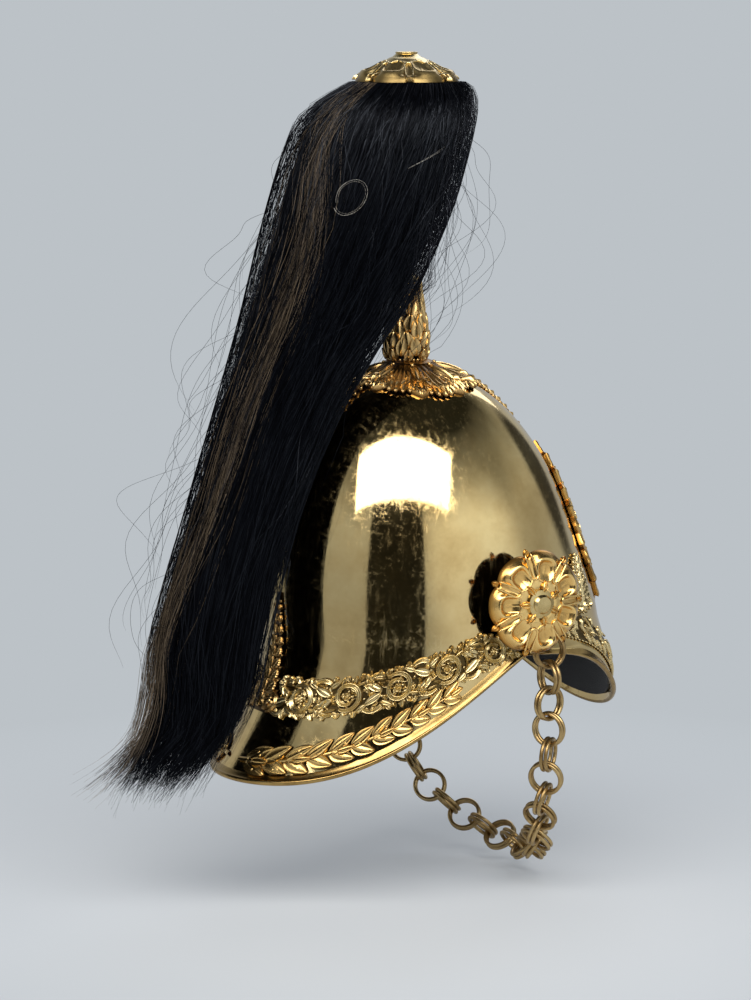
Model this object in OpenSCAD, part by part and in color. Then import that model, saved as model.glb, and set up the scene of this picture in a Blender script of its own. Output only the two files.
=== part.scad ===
// Dragoon helmet: gilt brass skull with front and rear peaks, foliage mounts,
// ear rosettes, a ring chin chain and a falling horsehair plume.
// The helmet faces -Y, +Z is up and the plume stands on the Z axis.
// Z = 0 is the level of the sweatband, where the wearer's head carries it.

/* [Skull] */
// Outside width of the skull at the sweatband
skull_w = 190; // [170:1:215]
// From the plume axis to the front of the skull
skull_front = 123; // [105:1:140]
// From the plume axis to the back of the skull
skull_back = 97; // [85:1:115]
// From the sweatband level to the crown
skull_h = 172; // [150:1:190]
// Thickness of the skull's brass
skull_wall = 1.2; // [0.9:0.1:2]
// Squareness of the skull's plan, where 2 is an ellipse
skull_square = 2.2; // [2:0.1:2.8]
// Forward swell of the brow above the front peak
brow_swell = 15; // [8:0.5:18]

/* [Peaks] */
// Flare of the rim at the ears, beyond the skull's side
rim_flare = 1.5; // [0:0.1:12]
// From the plume axis to the tip of the front peak
front_reach = 146; // [130:1:165]
// From the plume axis to the edge of the rear peak
rear_reach = 140; // [122:1:160]
// Drop of the front peak's tip below the sweatband level
front_drop = 72; // [55:1:90]
// Drop of the rear peak's edge below the sweatband level
rear_drop = 95; // [75:1:110]
// Drop of the rim at the ears
ear_drop = 13; // [11:0.5:18]
// From the plume axis forward to the ears
ear_front = 37; // [25:1:50]
// Squareness of the front peak's plan
peak_square = 2.7; // [2:0.1:3]
// Radius of the half round edge binding
edge_r = 1.7; // [1.2:0.1:2.4]

/* [Foliage mounts] */
// Gap between a mount and the brass below it
seat_gap = 0.3; // [0.15:0.05:0.5]
// Width of the side bands
band_w = 25; // [18:0.5:30]
// Thickness of a band's ground
band_ground = 0.8; // [0.6:0.1:1.5]
// Height of the carving above its ground
relief = 2.0; // [1:0.1:3]
// Drop of the side bands' centre line at the back
band_drop = 41; // [30:1:50]
// Height of the rear ornament
rear_ornament_h = 78; // [50:1:95]
// Width of the rear ornament's foot
rear_ornament_w = 34; // [20:1:50]
// Length of a laurel leaf
laurel_l = 25; // [18:0.5:30]
// Width of a laurel leaf
laurel_leaf_w = 9; // [6:0.5:12]
// Height of the front sprays above the front band
spray_h = 44; // [30:1:60]
// Height of the star plate
plate_h = 134; // [100:1:140]
// Width of the star plate
plate_w = 104; // [80:1:112]

/* [Crown and socket] */
// Radius of the acanthus crown plate
crown_r = 42; // [32:1:55]
// Count of leaves round the crown plate
crown_leaves = 14; // [10:1:18]
// Thickness of the crown plate at its centre
crown_t = 4; // [3:0.5:6]
// Height of the plume socket
socket_h = 54; // [40:1:65]
// Widest radius of the socket's leaves
socket_r = 17; // [13:0.5:22]
// Count of leaves round the socket
socket_leaves = 8; // [6:1:10]
// Diameter of the crown stud
stud_d = 8; // [6:0.5:9]

/* [Plume] */
// Diameter of the plume stem
stem_d = 10; // [8:0.5:12]
// Length of the stem above the socket
stem_l = 129; // [100:1:160]
// Depth of the stem in the socket
stem_seat = 44; // [30:1:50]
// Clearance between the stem and its bore, on the radius
stem_fit = 0.08; // [0.03:0.01:0.1]
// Radius of the disc that the hair hangs from
disc_r = 30; // [24:1:34]
// Thickness of the disc
disc_t = 3.5; // [2.5:0.5:6]
// Radius of the hair at its top
hair_r = 49; // [42:1:56]
// Length of the hair from the disc to its tips
hair_l = 462; // [430:1:520]
// Clear space between the hair and the brass
hair_gap = 5; // [4:0.5:9]

/* [Rosettes] */
// Outside radius of each rosette
rose_r = 35; // [28:0.5:40]
// Count of petals on a rosette
rose_petals = 7; // [5:1:9]
// Thickness of a rosette's sheet
rose_t = 1.4; // [1:0.1:2.5]
// Height of a rosette's dome
rose_h = 8; // [5:0.5:11]
// Height of the top rosette's dome
top_rose_h = 12; // [8:0.5:15]
// Height of an ear rosette's centre above the sweatband level
rose_z = 24; // [18:1:30]
// From the plume axis forward to an ear rosette's centre
rose_front = 35; // [28:1:44]
// From the helmet's widest part out to an ear rosette's back
rose_out = 13.5; // [12:0.5:20]
// Radius of a rosette's centre boss
boss_r = 6.5; // [5:0.5:9]

/* [Chin chain] */
// Outside diameter of a ring
ring_d = 24; // [22:0.5:28]
// Diameter of a ring's wire
ring_wire = 2.7; // [2:0.1:3]
// Clear gap between linked rings
ring_gap = 0.35; // [0.3:0.05:0.5]
// Count of ring pairs on each side of the middle pair
side_pairs = 13; // [12:1:15]
// From the helmet's widest part out to the chain's hooks
hook_out = 7.2; // [6.5:0.1:11]
// From the plume axis forward to the hooks
hook_front = 51; // [44:1:56]
// Drop of a hook below the sweatband level
hook_drop = 4; // [2:0.5:6]
// Diameter of a hook's wire
hook_wire = 2.5; // [2:0.1:3]
// Reach of the chain's bottom in front of the hooks
chain_lean = 37; // [20:1:45]

/* [Lining] */
// Thickness of the sweatband's leather
band_leather = 2.4; // [1.5:0.1:3]
// Height of the sweatband
sweatband_h = 34; // [26:1:40]
// Count of crown tongues
tongues = 8; // [6:1:10]
// Thickness of a crown tongue
tongue_t = 1.6; // [1:0.1:2.5]
// Height of the tongues' tips above the sweatband level
tongue_top = 126; // [100:1:140]
// Thickness of the peaks' leather facing
facing_t = 1.1; // [0.8:0.1:2]
// Width of bare brass between a facing and the rim
facing_margin = 6; // [4:0.5:12]

/* [Hidden] */
around = 48;             // steps round the skull
dome_rows = 9;           // rows from the crown to the sweatband level
skirt_rows = 5;          // rows from there to the rim
clear = 0.3;             // clear space between seated pieces
skirt_gap = 0.3;         // extra gap where the skull's skirt is hollow
rim_w = skull_w + 2 * rim_flare;
half_wide = rim_w / 2;
rose_x = half_wide + rose_out;
hook_x = half_wide + hook_out;
half_len = (skull_front + skull_back) / 2;
skull_mid = (skull_front - skull_back) / 2;
rim_mid = 20;            // centre of the rim's plan, forward of the plume axis
rear_square = 2.1;       // squareness of the rear peak's plan
stud_hole = stud_d / 2 + 0.5;
band_start = 81;         // angle where a side band starts, under the rosette
brow_z = -12;            // level where the brow stands out most
brow_fade = 46;          // height over which the brow fades into the dome
front_low = 11;          // from the front rim up to the front band
front_tall = 25;         // height of the front band
plate_z = 60;            // height of the star plate's centre
spray_t = 45;            // angle of the front sprays' foot
crown_z = skull_h + crown_t + 0.1;
socket_top = crown_z + socket_h;
disc_z = socket_top + stem_l;
rose_base_z = disc_z + disc_t + clear;
rose_hole = 0.28;        // a rosette's hole, as a share of its radius
rose_neck = rose_r * rose_hole - 0.4;
ring_r = (ring_d - ring_wire) / 2;
pair_off = (ring_wire + ring_gap) / 2;
bow = pow(ring_r, 2) - pow(pair_off, 2);
taut = 2 * sqrt(bow) - ring_wire - ring_gap;
leg_slack = 0.4;         // play between linked pairs in the straight legs
bend_slack = 0.9;        // play between linked pairs round the bend
leg_pitch = taut - leg_slack;
bend_pitch = taut - bend_slack;
hook_z = -hook_drop;
half_twist = 40;         // turn of alternate pairs round the bend, off the chain's plane
hang_gap = 0.35;         // play between a hook and its ring
leg_pairs = 3;           // pairs in each straight leg, below the hanger

brass = [0.86, 0.74, 0.42];
gilt = [0.83, 0.64, 0.28];
bronze = [0.52, 0.40, 0.20];
old_brass = [0.55, 0.42, 0.24];
black = [0.05, 0.05, 0.06];
leather = [0.36, 0.22, 0.13];

// outlines and the skull's surface

// Radius of a rounded-square outline, by angle from its front
function outline_r(t, half, front, back, nf, nb) =
    let(c = cos(t), n = c >= 0 ? nf : nb, reach = c >= 0 ? front : back)
    pow(pow(abs(c) / reach, n) + pow(abs(sin(t)) / half, n), -1 / n);
function outline(t, half, mid, front, back, nf, nb) =
    let(r = outline_r(t, half, front, back, nf, nb)) [-r * sin(t), -mid - r * cos(t)];
function skull_plan(t, off) = outline(t, skull_w / 2 + off, skull_mid,
    half_len + off, half_len + off, skull_square, skull_square);
function rim_plan(t, off) = outline(t, rim_w / 2 + off, rim_mid,
    front_reach - rim_mid + off, rear_reach + rim_mid + off, peak_square, rear_square);

// Share of the way from the ear to the tip of a peak
function to_front(t) = (-rim_plan(t, 0).y - ear_front) / (front_reach - ear_front);
function to_back(t) = (rim_plan(t, 0).y + ear_front) / (rear_reach + ear_front);
function rim_z(t) = to_front(t) > 0
    ? -ear_drop - (front_drop - ear_drop) * pow(to_front(t), 2.7)
    : -ear_drop - (rear_drop - ear_drop) * sin(90 * pow(max(0, to_back(t)), 1.06));
function flare(t) = 1.5 - 0.15 * cos(t);

// Swell of the brow over the front peak, outwards from the axis
function brow(t, z) = brow_swell * pow(max(0, cos(t)), 2)
    * (z > brow_z ? exp(-pow((z - brow_z) / brow_fade, 2))
        : cos(90 * min(1, (z - brow_z) / (rim_z(t) - brow_z))));
function outward(t, d) = [-d * sin(t), -d * cos(t), 0];

// The skull's surface: t runs round from the front by the wearer's right,
// s is 0 at the crown, 1 at the sweatband level and 2 at the rim
function skin(t, s, off = 0) =
    plain_skin(t, s, off) + outward(t, brow(t, s <= 1 ? skull_h * cos(90 * s) : rim_z(t) * (s - 1)));
function plain_skin(t, s, off) =
    let(p = skull_plan(t, off))
    s <= 1
        ? let(g = sin(90 * s)) [p.x * g, p.y * g, (skull_h + off) * cos(90 * s)]
        : let(q = s - 1, r = rim_plan(t, off), m = pow(q, flare(t)))
          [p.x + (r.x - p.x) * m, p.y + (r.y - p.y) * m, rim_z(t) * q];
function s_at(t, z) = z >= 0 ? acos(min(1, z / skull_h)) / 90 : 1 + z / rim_z(t);
function mm_t(t, s) = norm(skin(t + 1, s) - skin(t - 1, s)) / 2;
function mm_s(t, s) = norm(skin(t, s + 0.01) - skin(t, s - 0.01)) / 0.02;
// A point u along and v down the surface from (t, s), in millimetres
function on_skin(t, s, u, v, off) = skin(t + u / mm_t(t, s), s + v / mm_s(t, s), off);

// solids from grids of points

function flat(list) = [for (row = list) for (p = row) p];
function quad(a, b, c, d) = [[a, b, c], [a, c, d]];

// Rows that each close round, stacked into a tube; wrap joins the last row to the first
module tube(rows, wrap = false) {
    n = len(rows[0]);
    m = len(rows);
    last = wrap ? m : m - 1;
    sides = [for (i = [0:last - 1], j = [0:n - 1])
        each quad(i * n + j, ((i + 1) % m) * n + j, ((i + 1) % m) * n + (j + 1) % n,
            i * n + (j + 1) % n)];
    ends = wrap ? [] : [[for (j = [0:n - 1]) j], [for (j = [n - 1:-1:0]) (m - 1) * n + j]];
    polyhedron(points = flat(rows), faces = concat(sides, ends), convexity = 8);
}

// Two open grids of the same size, joined round their edges into a slab
module slab(top, under) {
    m = len(top);
    n = len(top[0]);
    k = m * n;
    up = [for (i = [0:m - 2], j = [0:n - 2])
        each quad(i * n + j, i * n + j + 1, (i + 1) * n + j + 1, (i + 1) * n + j)];
    down = [for (i = [0:m - 2], j = [0:n - 2])
        each quad(k + i * n + j, k + (i + 1) * n + j, k + (i + 1) * n + j + 1, k + i * n + j + 1)];
    edge = concat([for (j = [0:n - 1]) j], [for (i = [1:m - 1]) i * n + n - 1],
        [for (j = [n - 2:-1:0]) (m - 1) * n + j], [for (i = [m - 2:-1:1]) i * n]);
    walls = [for (i = [0:len(edge) - 1]) let(a = edge[i], b = edge[(i + 1) % len(edge)])
        each quad(b, a, k + a, k + b)];
    polyhedron(points = concat(flat(top), flat(under)), faces = concat(up, down, walls),
        convexity = 6);
}

// A pointed leaf on the skull's surface, turned by dir from the way u runs
module leaf(t, s, l, w, dir, lift = 0) {
    shape = [[0, 0.3, 0.4], [0.45, 1, 1], [1, 0.06, 0.45]];
    low = seat_gap + lift;
    function at(a, b, h) = on_skin(t, s, a * cos(dir) - b * sin(dir), a * sin(dir) + b * cos(dir), h);
    rows = [for (k = shape) let(a = k[0] * l, b = k[1] * w / 2)
        [at(a, -b, low), at(a, b, low), at(a, b, low + 0.5), at(a, 0, low + 0.5 + relief * k[2]),
            at(a, -b, low + 0.5)]];
    tube(rows);
}

// skull and edges

module skull() {
    dome = [for (i = [0:dome_rows]) max(i / dome_rows, asin(stud_hole * 2 / skull_w) / 90)];
    skirt = [for (i = [1:skirt_rows]) 1 + i / skirt_rows];
    rows = concat(dome, skirt);
    outer = [for (s = rows) [for (j = [0:around - 1]) skin(j * 360 / around, s)]];
    inner = [for (i = [len(rows) - 1:-1:0])
        [for (j = [0:around - 1]) skin(j * 360 / around, rows[i], -skull_wall)]];
    color(brass) tube(concat(outer, inner), wrap = true);
}

// Half round binding along the rim from one angle to another
module edge_run(from, to, steps) {
    section = [[0.5, 0], [0.3, 0.8], [-0.3, 1], [-1, 0.75], [-1.25, 0], [-0.6, -0.35]];
    rows = [for (i = [0:steps]) let(t = from + (to - from) * i / steps,
        a = skin(t, 2), b = skin(t, 1.93), down = (a - b) / norm(a - b),
        side = skin(t, 2, 1) - skin(t, 2), base = skin(t, 2, -skull_wall / 2) + down * (edge_r + 0.3))
        [for (k = section) base - down * edge_r * k.x + side * edge_r * k.y * 1.1]];
    tube([for (r = rows) [for (i = [5:-1:0]) r[i]]]);
}
module front_edge() { color(brass) edge_run(-78, 78, 36); }
module rear_edge() { color(brass) edge_run(81, 279, 42); }

// bands

// Height of the centre line of a side band
function band_z(t) = -band_drop * sin(90 * max(0, to_back(t)));

module side_band() {
    steps = 36;
    taper = 15;
    across = [-0.5, -0.3, 0, 0.3, 0.5];
    end = 180 - rear_ornament_w * 0.27;
    function along(i) = band_start + (end - band_start) * i / steps;
    function full(t) = min(1, 0.3 + 0.7 * (t - band_start) / taper);
    function carve(i, k) = abs(across[k]) == 0.5 ? 0.25 : 0.55 + 0.45 * cos(i * 65 + k * 80);
    function z(i, k) = let(t = along(i), w = full(t))
        band_z(t) - 8 * (1 - w) - across[k] * band_w * w * (1 - 0.1 * (i % 2));
    function at(i, k, h) = skin(along(i), s_at(along(i), z(i, k)), h);
    top = [for (k = [0:4]) [for (i = [0:steps]) at(i, k, seat_gap + band_ground + relief * carve(i, k))]];
    under = [for (k = [0:4]) [for (i = [0:steps]) at(i, k, seat_gap + 0.1)]];
    color(gilt) slab(under, top);
}
module side_band_right() { side_band(); }
module side_band_left() { mirror([1, 0, 0]) side_band(); }

// Foliage over the front peak, from ear to ear
module front_band() {
    steps = 44;
    across = [0, 0.25, 0.5, 0.75, 1];
    reach = 66;
    function carve(i, k) = k == 0 || k == 4 ? 0.25 : 0.6 + 0.4 * cos(i * 75 + k * 95);
    function z(t, i, k) = rim_z(t) + front_low + front_tall * across[k] * (1 - 0.12 * (i % 2));
    top = [for (k = [0:4]) [for (i = [0:steps]) let(t = -reach + 2 * reach * i / steps)
        skin(t, s_at(t, z(t, i, k)), seat_gap + band_ground + relief * carve(i, k))]];
    under = [for (k = [0:4]) [for (i = [0:steps]) let(t = -reach + 2 * reach * i / steps)
        skin(t, s_at(t, z(t, i, k)), seat_gap)]];
    color(gilt) slab(top, under);
}

// Tapering foliage that climbs the back of the skull above the side bands
module rear_ornament() {
    steps = 12;
    across = [-0.5, -0.25, 0, 0.25, 0.5];
    foot = band_z(180) - band_w / 2;
    function w(i) = rear_ornament_w * pow(1 - i / (steps + 0.6), 0.8) * (1 - 0.16 * (i % 2));
    function carve(i, k) = (k == 2 ? 1.1 : k % 4 == 0 ? 0.25 : 0.55 + 0.45 * (i % 2));
    function at(i, k, h) = let(z = foot + rear_ornament_h * i / steps, s = s_at(180, z))
        on_skin(180, s, across[k] * w(i), 0, h);
    top = [for (i = [0:steps]) [for (k = [0:4]) at(i, k, skirt_gap + seat_gap + band_ground
        + relief * carve(i, k))]];
    under = [for (i = [0:steps]) [for (k = [0:4]) at(i, k, skirt_gap + seat_gap)]];
    color(gilt) slab(top, under);
}

// laurel on the rear peak

// Round stem along the skull's surface through a list of (t, s) points
module stem(path, r, lift = 0) {
    function along(i) = let(a = path[max(0, i - 1)], b = path[min(len(path) - 1, i + 1)])
        unit(skin(b[0], b[1]) - skin(a[0], a[1]));
    rows = [for (i = [0:len(path) - 1]) let(k = path[i], c = skin(k[0], k[1], seat_gap + lift + r),
        up = unit(skin(k[0], k[1], 1) - skin(k[0], k[1])), side = cross(along(i), up))
        [for (a = [0:72:288]) c + r * (side * cos(a) + up * sin(a))]];
    tube([for (r = rows) [for (i = [4:-1:0]) r[i]]]);
}

module laurel() {
    stations = 6;
    step = 11;
    function s(i) = 1.86 - 0.02 * i;
    color(bronze) {
        stem([for (i = [-0.4:0.5:stations - 0.4]) [172 - i * step, s(i)]], 1.1, skirt_gap + 0.3);
        for (i = [0:stations - 1]) {
            grow = 1 - 0.06 * i;
            leaf(172 - i * step, s(i), laurel_l * grow, laurel_leaf_w * grow, 180 - 24, skirt_gap + 0.4);
            leaf(172 - i * step, s(i), laurel_l * grow * 0.85, laurel_leaf_w * grow, 180 + 20,
                skirt_gap + 0.7);
        }
    }
}
module laurel_right() { laurel(); }
module laurel_left() { mirror([1, 0, 0]) laurel(); }

// front of the helmet

// Upright spray beside each ear rosette
module front_spray() {
    tiers = 3;
    long = 17;
    z0 = rim_z(spray_t) + front_low + front_tall + 2.5;
    function t(i) = spray_t - 1.4 * i;
    function s(i) = s_at(t(i), z0 + (spray_h - long) * i / (tiers - 1));
    color(gilt) {
        stem([for (i = [0:1:tiers - 0.4]) [t(i), s(i)]], 1);
        for (i = [0:tiers - 1]) {
            grow = 1 - 0.12 * i;
            leaf(t(i), s(i), long * grow, long / 2 * grow, -90 - 32);
            leaf(t(i), s(i), long * grow, long / 2 * grow, -90 + 32, 0.3);
        }
    }
}
module front_spray_right() { front_spray(); }
module front_spray_left() { mirror([1, 0, 0]) front_spray(); }

// Rayed star plate, bowed to the skull
module front_plate() {
    points = 16;
    steps = points * 4;
    rows = [0.3, 0.7, 1];
    function reach(j) = let(a = j * 360 / steps, big = j % 8 == 0, peak = j % 4 == 0)
        pow(pow(cos(a) * 2 / plate_h, 2) + pow(sin(a) * 2 / plate_w, 2), -0.5)
            * (big ? 1 : peak ? 0.9 : j % 2 == 0 ? 0.8 : 0.86);
    function at(j, q, h) = let(a = j * 360 / steps, r = reach(j) * q)
        on_skin(0, s_at(0, plate_z), -r * sin(a), -r * cos(a), h);
    function ridge(j) = j % 4 == 0 ? 1 : j % 2 == 0 ? 0.2 : 0.55;
    outer = [for (q = rows) [for (j = [0:steps - 1])
        at(j, q, seat_gap + 1.4 + 2.2 * (1 - q) + relief * 0.7 * ridge(j) * (q < 1 ? 1 : 0.3))]];
    inner = [for (q = [1, 0.7, 0.3]) [for (j = [0:steps - 1]) at(j, q, seat_gap + (q < 1 ? 0.8 : 0))]];
    color(gilt) tube(concat(outer, inner), wrap = true);
}

// Plain oval shield in the middle of the star
module plate_boss() {
    steps = 24;
    function at(j, q, h) = let(a = j * 360 / steps)
        on_skin(0, s_at(0, plate_z), -plate_w * 0.19 * q * sin(a), -plate_h * 0.19 * q * cos(a), h);
    base = seat_gap + 1.4 + 2.2 + relief * 0.7 + clear;
    rows = [for (k = [[0.1, base], [1, base], [1, base + 1.2], [0.7, base + 3], [0.1, base + 4]])
        [for (j = [0:steps - 1]) at(j, k[0], k[1])]];
    color(brass) tube([for (i = [4:-1:0]) rows[i]]);
}

// crown plate and plume socket

module crown_plate() {
    per_leaf = 6;
    steps = crown_leaves * per_leaf;
    s_in = asin((stud_hole + 0.6) * 2 / skull_w) / 90;
    s_out = asin(crown_r / half_len) / 90;
    fade = [0, 0.4, 0.75, 1];
    function lobe(j) = let(k = j % per_leaf) k == 0 ? 0 : k == 3 ? 1 : abs(k - 3) == 2 ? 0.55 : 0.75;
    function tongue(t) = let(a = t > 180 ? t - 360 : t, b = t - 180)
        0.42 * exp(-pow(a / 13, 2)) + 0.3 * exp(-pow(b / 13, 2));
    function s(j, q) = let(t = j * 360 / steps)
        s_in + (s_out * (0.78 + 0.22 * lobe(j) + tongue(t)) - s_in) * q;
    function rise(j, q) = crown_t * pow(1 - q, 1.5) + band_ground * (1 - pow(1 - q, 2))
        + relief * 1.2 * sin(180 * pow(q, 0.8)) * lobe(j);
    outer = [for (q = fade) [for (j = [0:steps - 1])
        skin(j * 360 / steps, s(j, q), seat_gap + rise(j, q))]];
    inner = [for (q = [1, 0.67, 0.33, 0]) [for (j = [0:steps - 1])
        skin(j * 360 / steps, s(j, q), seat_gap + 0.2)]];
    color(bronze) tube(concat(outer, inner), wrap = true);
}

module socket_tube() {
    bore = stem_d / 2 + stem_fit;
    tube_r = bore + 1.3;
    floor_z = socket_top - stem_seat - 1;
    color(bronze) rotate_extrude($fn = 64)
        polygon([[0, skull_h - 18], [stud_d / 2, skull_h - 18], [stud_d / 2, crown_z],
            [tube_r + 5, crown_z], [tube_r + 5, crown_z + 1.6], [tube_r, crown_z + 3],
            [tube_r, socket_top], [bore, socket_top], [bore, floor_z], [0, floor_z]]);
}

// Two tiers of leaves that swell round the socket tube
module socket_leaves() {
    steps = socket_leaves * 6;
    inner_r = stem_d / 2 + stem_fit + 1.3 + clear;
    low = crown_z + 3.4;
    tall = socket_top - low - 1;
    profile = [[0, 0.1], [0.15, 0.4], [0.32, 0.88], [0.5, 1], [0.56, 0.8], [1, 0.42]];
    function lobe(j, tier) = let(k = (j + 3 * tier) % 6) k == 0 ? 0 : k == 3 ? 1 : 0.7;
    rows = [for (k = profile) [for (j = [0:steps - 1])
        let(t = j * 360 / steps, tier = k[0] < 0.53 ? 0 : 1,
            r = inner_r + 1.2 + (socket_r - inner_r - 1.2) * k[1] * (0.8 + 0.2 * lobe(j, tier)),
            z = low + tall * (k[0] - (k[0] > 0.4 && k[0] < 0.6 ? 0.06 : 0.08 * k[0]) * (1 - lobe(j, tier))))
        [-r * sin(t), -r * cos(t), z]]];
    bore = [for (z = [low + tall * 0.88, low]) [for (j = [0:steps - 1]) let(t = j * 360 / steps)
        [-inner_r * sin(t), -inner_r * cos(t), z]]];
    color(bronze) tube([for (r = concat(rows, bore)) [for (j = [steps - 1:-1:0]) r[j]]], wrap = true);
}

washer_r = stud_d / 2 + 6;
washer_t = 1.5;
washer_top = (skull_h - skull_wall) * cos(asin(washer_r / (skull_w / 2 - skull_wall))) - 0.35;
module crown_washer() {
    color(brass) difference() {
        translate([0, 0, washer_top - washer_t]) cylinder(r = washer_r, h = washer_t, $fn = 48);
        translate([0, 0, washer_top - 2]) cylinder(r = stud_d / 2 + 0.2, h = 3, $fn = 48);
    }
}

module crown_nut() {
    top = washer_top - washer_t - 0.05;
    color(brass) difference() {
        translate([0, 0, top - 6.2]) cylinder(d = stud_d * 1.85, h = 6.2, $fn = 6);
        translate([0, 0, top - 7]) cylinder(r = stud_d / 2 + 0.08, h = 8, $fn = 48);
    }
}

// plume

cap_bore = 2.4;
module plume_stem() {
    r = stem_d / 2;
    color(brass) rotate_extrude($fn = 64)
        polygon([[0, socket_top - stem_seat], [r, socket_top - stem_seat], [r, socket_top + 0.1],
            [r + 3.5, socket_top + 0.1], [r + 3.5, socket_top + 2.5], [r - 1.5, socket_top + 5],
            [r - 1.5, disc_z], [cap_bore + 0.08, disc_z], [cap_bore + 0.08, disc_z - 16],
            [0, disc_z - 16]]);
}

module plume_disc() {
    inner = stem_d / 2 - 1.5;
    color(bronze) rotate_extrude($fn = 96)
        polygon([[inner + 0.1, disc_z - 6], [inner + 2.6, disc_z - 6], [inner + 2.6, disc_z],
            [disc_r, disc_z], [disc_r, disc_z + disc_t], [cap_bore + 0.4, disc_z + disc_t],
            [cap_bore + 0.4, disc_z + 0.3], [inner + 0.1, disc_z + 0.3]]);
}

// Half length, half width and offset back of the hair, by share of its length
hair_back = [[0, 1], [0.012, 5.5], [0.038, 10.5], [0.084, 16], [0.17, 21.5], [0.24, 36],
    [0.31, 55], [0.37, 66], [0.41, 79], [0.48, 96], [0.55, 110], [0.61, 117], [0.69, 124.5],
    [0.8, 132], [0.87, 139.5], [0.936, 155.5], [0.977, 169], [1, 184]];
hair_depth = [[0, 0.78], [0.012, 0.96], [0.038, 1.06], [0.084, 1.18], [0.17, 1.28], [0.24, 1.15],
    [0.31, 0.97], [0.37, 0.94], [0.41, 0.83], [0.48, 0.7], [0.55, 0.62], [0.61, 0.66], [0.69, 0.73],
    [0.8, 0.9], [0.87, 0.97], [0.936, 0.83], [0.977, 0.74], [1, 0.5]];
hair_width = [[0, 0.78], [0.012, 1.02], [0.05, 1.06], [0.17, 1.02], [0.24, 0.98], [0.37, 0.9],
    [0.48, 0.84], [0.69, 0.84], [0.87, 0.9], [0.936, 0.82], [0.977, 0.7], [1, 0.45]];
hair_shares = [0, 0.012, 0.038, 0.084, 0.13, 0.17, 0.24, 0.31, 0.37, 0.41, 0.48, 0.55, 0.61,
    0.69, 0.75, 0.8, 0.87, 0.936, 0.977, 1];
// Lock that sweeps out behind the tail: distance back, height and radius along it
wisp = [[150, 12, 9], [182, -30, 12], [208, -66, 11], [226, -81, 7], [240, -86, 2]];

// Back of the skull and rear peak at a height and a distance from the middle plane
function brass_back(x, z) =
    let(half = skull_w / 2, g = z >= 0 ? sin(acos(min(1, z / skull_h))) : 1,
        q = z < 0 ? min(1, z / rim_z(180)) : 0, m = pow(q, flare(180)),
        wide = half * g + (rim_w - skull_w) / 2 * m,
        reach = (half_len - skull_mid) * g + (rear_reach - half_len + skull_mid) * m,
        mid = skull_mid * g)
    (reach + mid) * pow(max(0, 1 - pow(abs(x) / wide, 2.1)), 1 / 2.1) - mid;

module plume_hair() {
    round_steps = 24;
    top = disc_z + disc_t;
    locks = 7;
    fall = top + rear_drop + 4.4;
    tail = 0.87;
    ring = [for (q = hair_shares) let(
        z = top - fall * min(q, tail) - (hair_l - fall * tail) * max(0, q - tail) / (1 - tail),
        mid = lookup(q, hair_back), deep = hair_r * lookup(q, hair_depth),
        wide = hair_r * lookup(q, hair_width))
        [for (j = [0:round_steps - 1]) let(a = j * 360 / round_steps,
            lump = 1 + 0.05 * min(1, q * 3) * cos(locks * a + 200 * q),
            x = -wide * lump * sin(a), y = mid - deep * lump * cos(a),
            wall = z < skull_h + 8 ? brass_back(x, z) + hair_gap : -hair_r * 2)
            [x, max(y, wall), z]]];
    lock = [for (k = wisp) [for (a = [0:60:300])
        [k[2] * sin(a), k[0] - k[2] * cos(a), k[1] + k[2] * 0.3 * cos(a)]]];
    color(black) difference() {
        union() {
            tube(ring);
            tube(lock);
        }
        translate([0, 0, socket_top - 10]) cylinder(r = stem_d / 2 + 4.5, h = stem_l + 5, $fn = 24);
        translate([0, 0, disc_z - 7]) cylinder(r = disc_r + clear, h = disc_t + 8, $fn = 48);
        translate([0, 0, skull_h]) cylinder(r = socket_r + 1.5, h = socket_h + 8, $fn = 48);
    }
}

// rosettes

// A lobed rose in the XY plane with its back at z = 0
module rose(r, high) {
    per_petal = 8;
    steps = rose_petals * per_petal;
    rows = [rose_hole, 0.42, 0.6, 0.85, 1];
    heights = [1, 0.8, 0.98, 0.7, 0.12];
    function lobe(j) = let(k = j % per_petal) k == 0 ? 0 : sin(180 * k / per_petal);
    function reach(j) = j % per_petal == 0 ? 0.99 : 0.86 + 0.14 * pow(lobe(j), 0.5);
    function swell(j, q) = (q > 0.45 ? 0.72 + 0.28 * pow(lobe(j), 0.7) : 0.9)
        + (j % per_petal == 0 && q > 0.45 && q < 0.8 ? 0.2 : 0);
    function p(j, q, z) = let(a = j * 360 / steps, d = r * q * (1 + (reach(j) - 1) * q))
        [d * sin(a), d * cos(a), z];
    outer = [for (i = [0:4]) [for (j = [0:steps - 1])
        p(j, rows[i], rose_t + high * heights[i] * swell(j, rows[i]))]];
    inner = [for (q = [0.97, rose_hole]) [for (j = [0:steps - 1])
        p(j, q, q > 0.9 ? 0 : high * 0.4)]];
    color(gilt) tube(concat(outer, inner), wrap = true);
}

module top_rosette() {
    translate([0, 0, rose_base_z]) rose(rose_r, top_rose_h);
}

// Cap screw that holds the rosette and the hair's disc on the stem
module top_cap() {
    neck = rose_neck;
    top = rose_base_z + rose_t + top_rose_h;
    color(gilt) rotate_extrude($fn = 64)
        polygon([[0, disc_z - 14], [cap_bore, disc_z - 14], [cap_bore, disc_z + disc_t + 0.1],
            [neck, disc_z + disc_t + 0.1], [neck, top + 0.3], [neck + 2.5, top + 1.2],
            [neck + 1.6, top + 4.2], [neck - 1, top + 5.4], [0, top + 5.8]]);
}

module ear_rosette() {
    translate([-rose_x, -rose_front, rose_z]) rotate([0, -90, 0]) rotate([0, 0, 90]) rose(rose_r, rose_h);
}
module ear_rosette_right() { ear_rosette(); }
module ear_rosette_left() { mirror([1, 0, 0]) ear_rosette(); }

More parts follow.
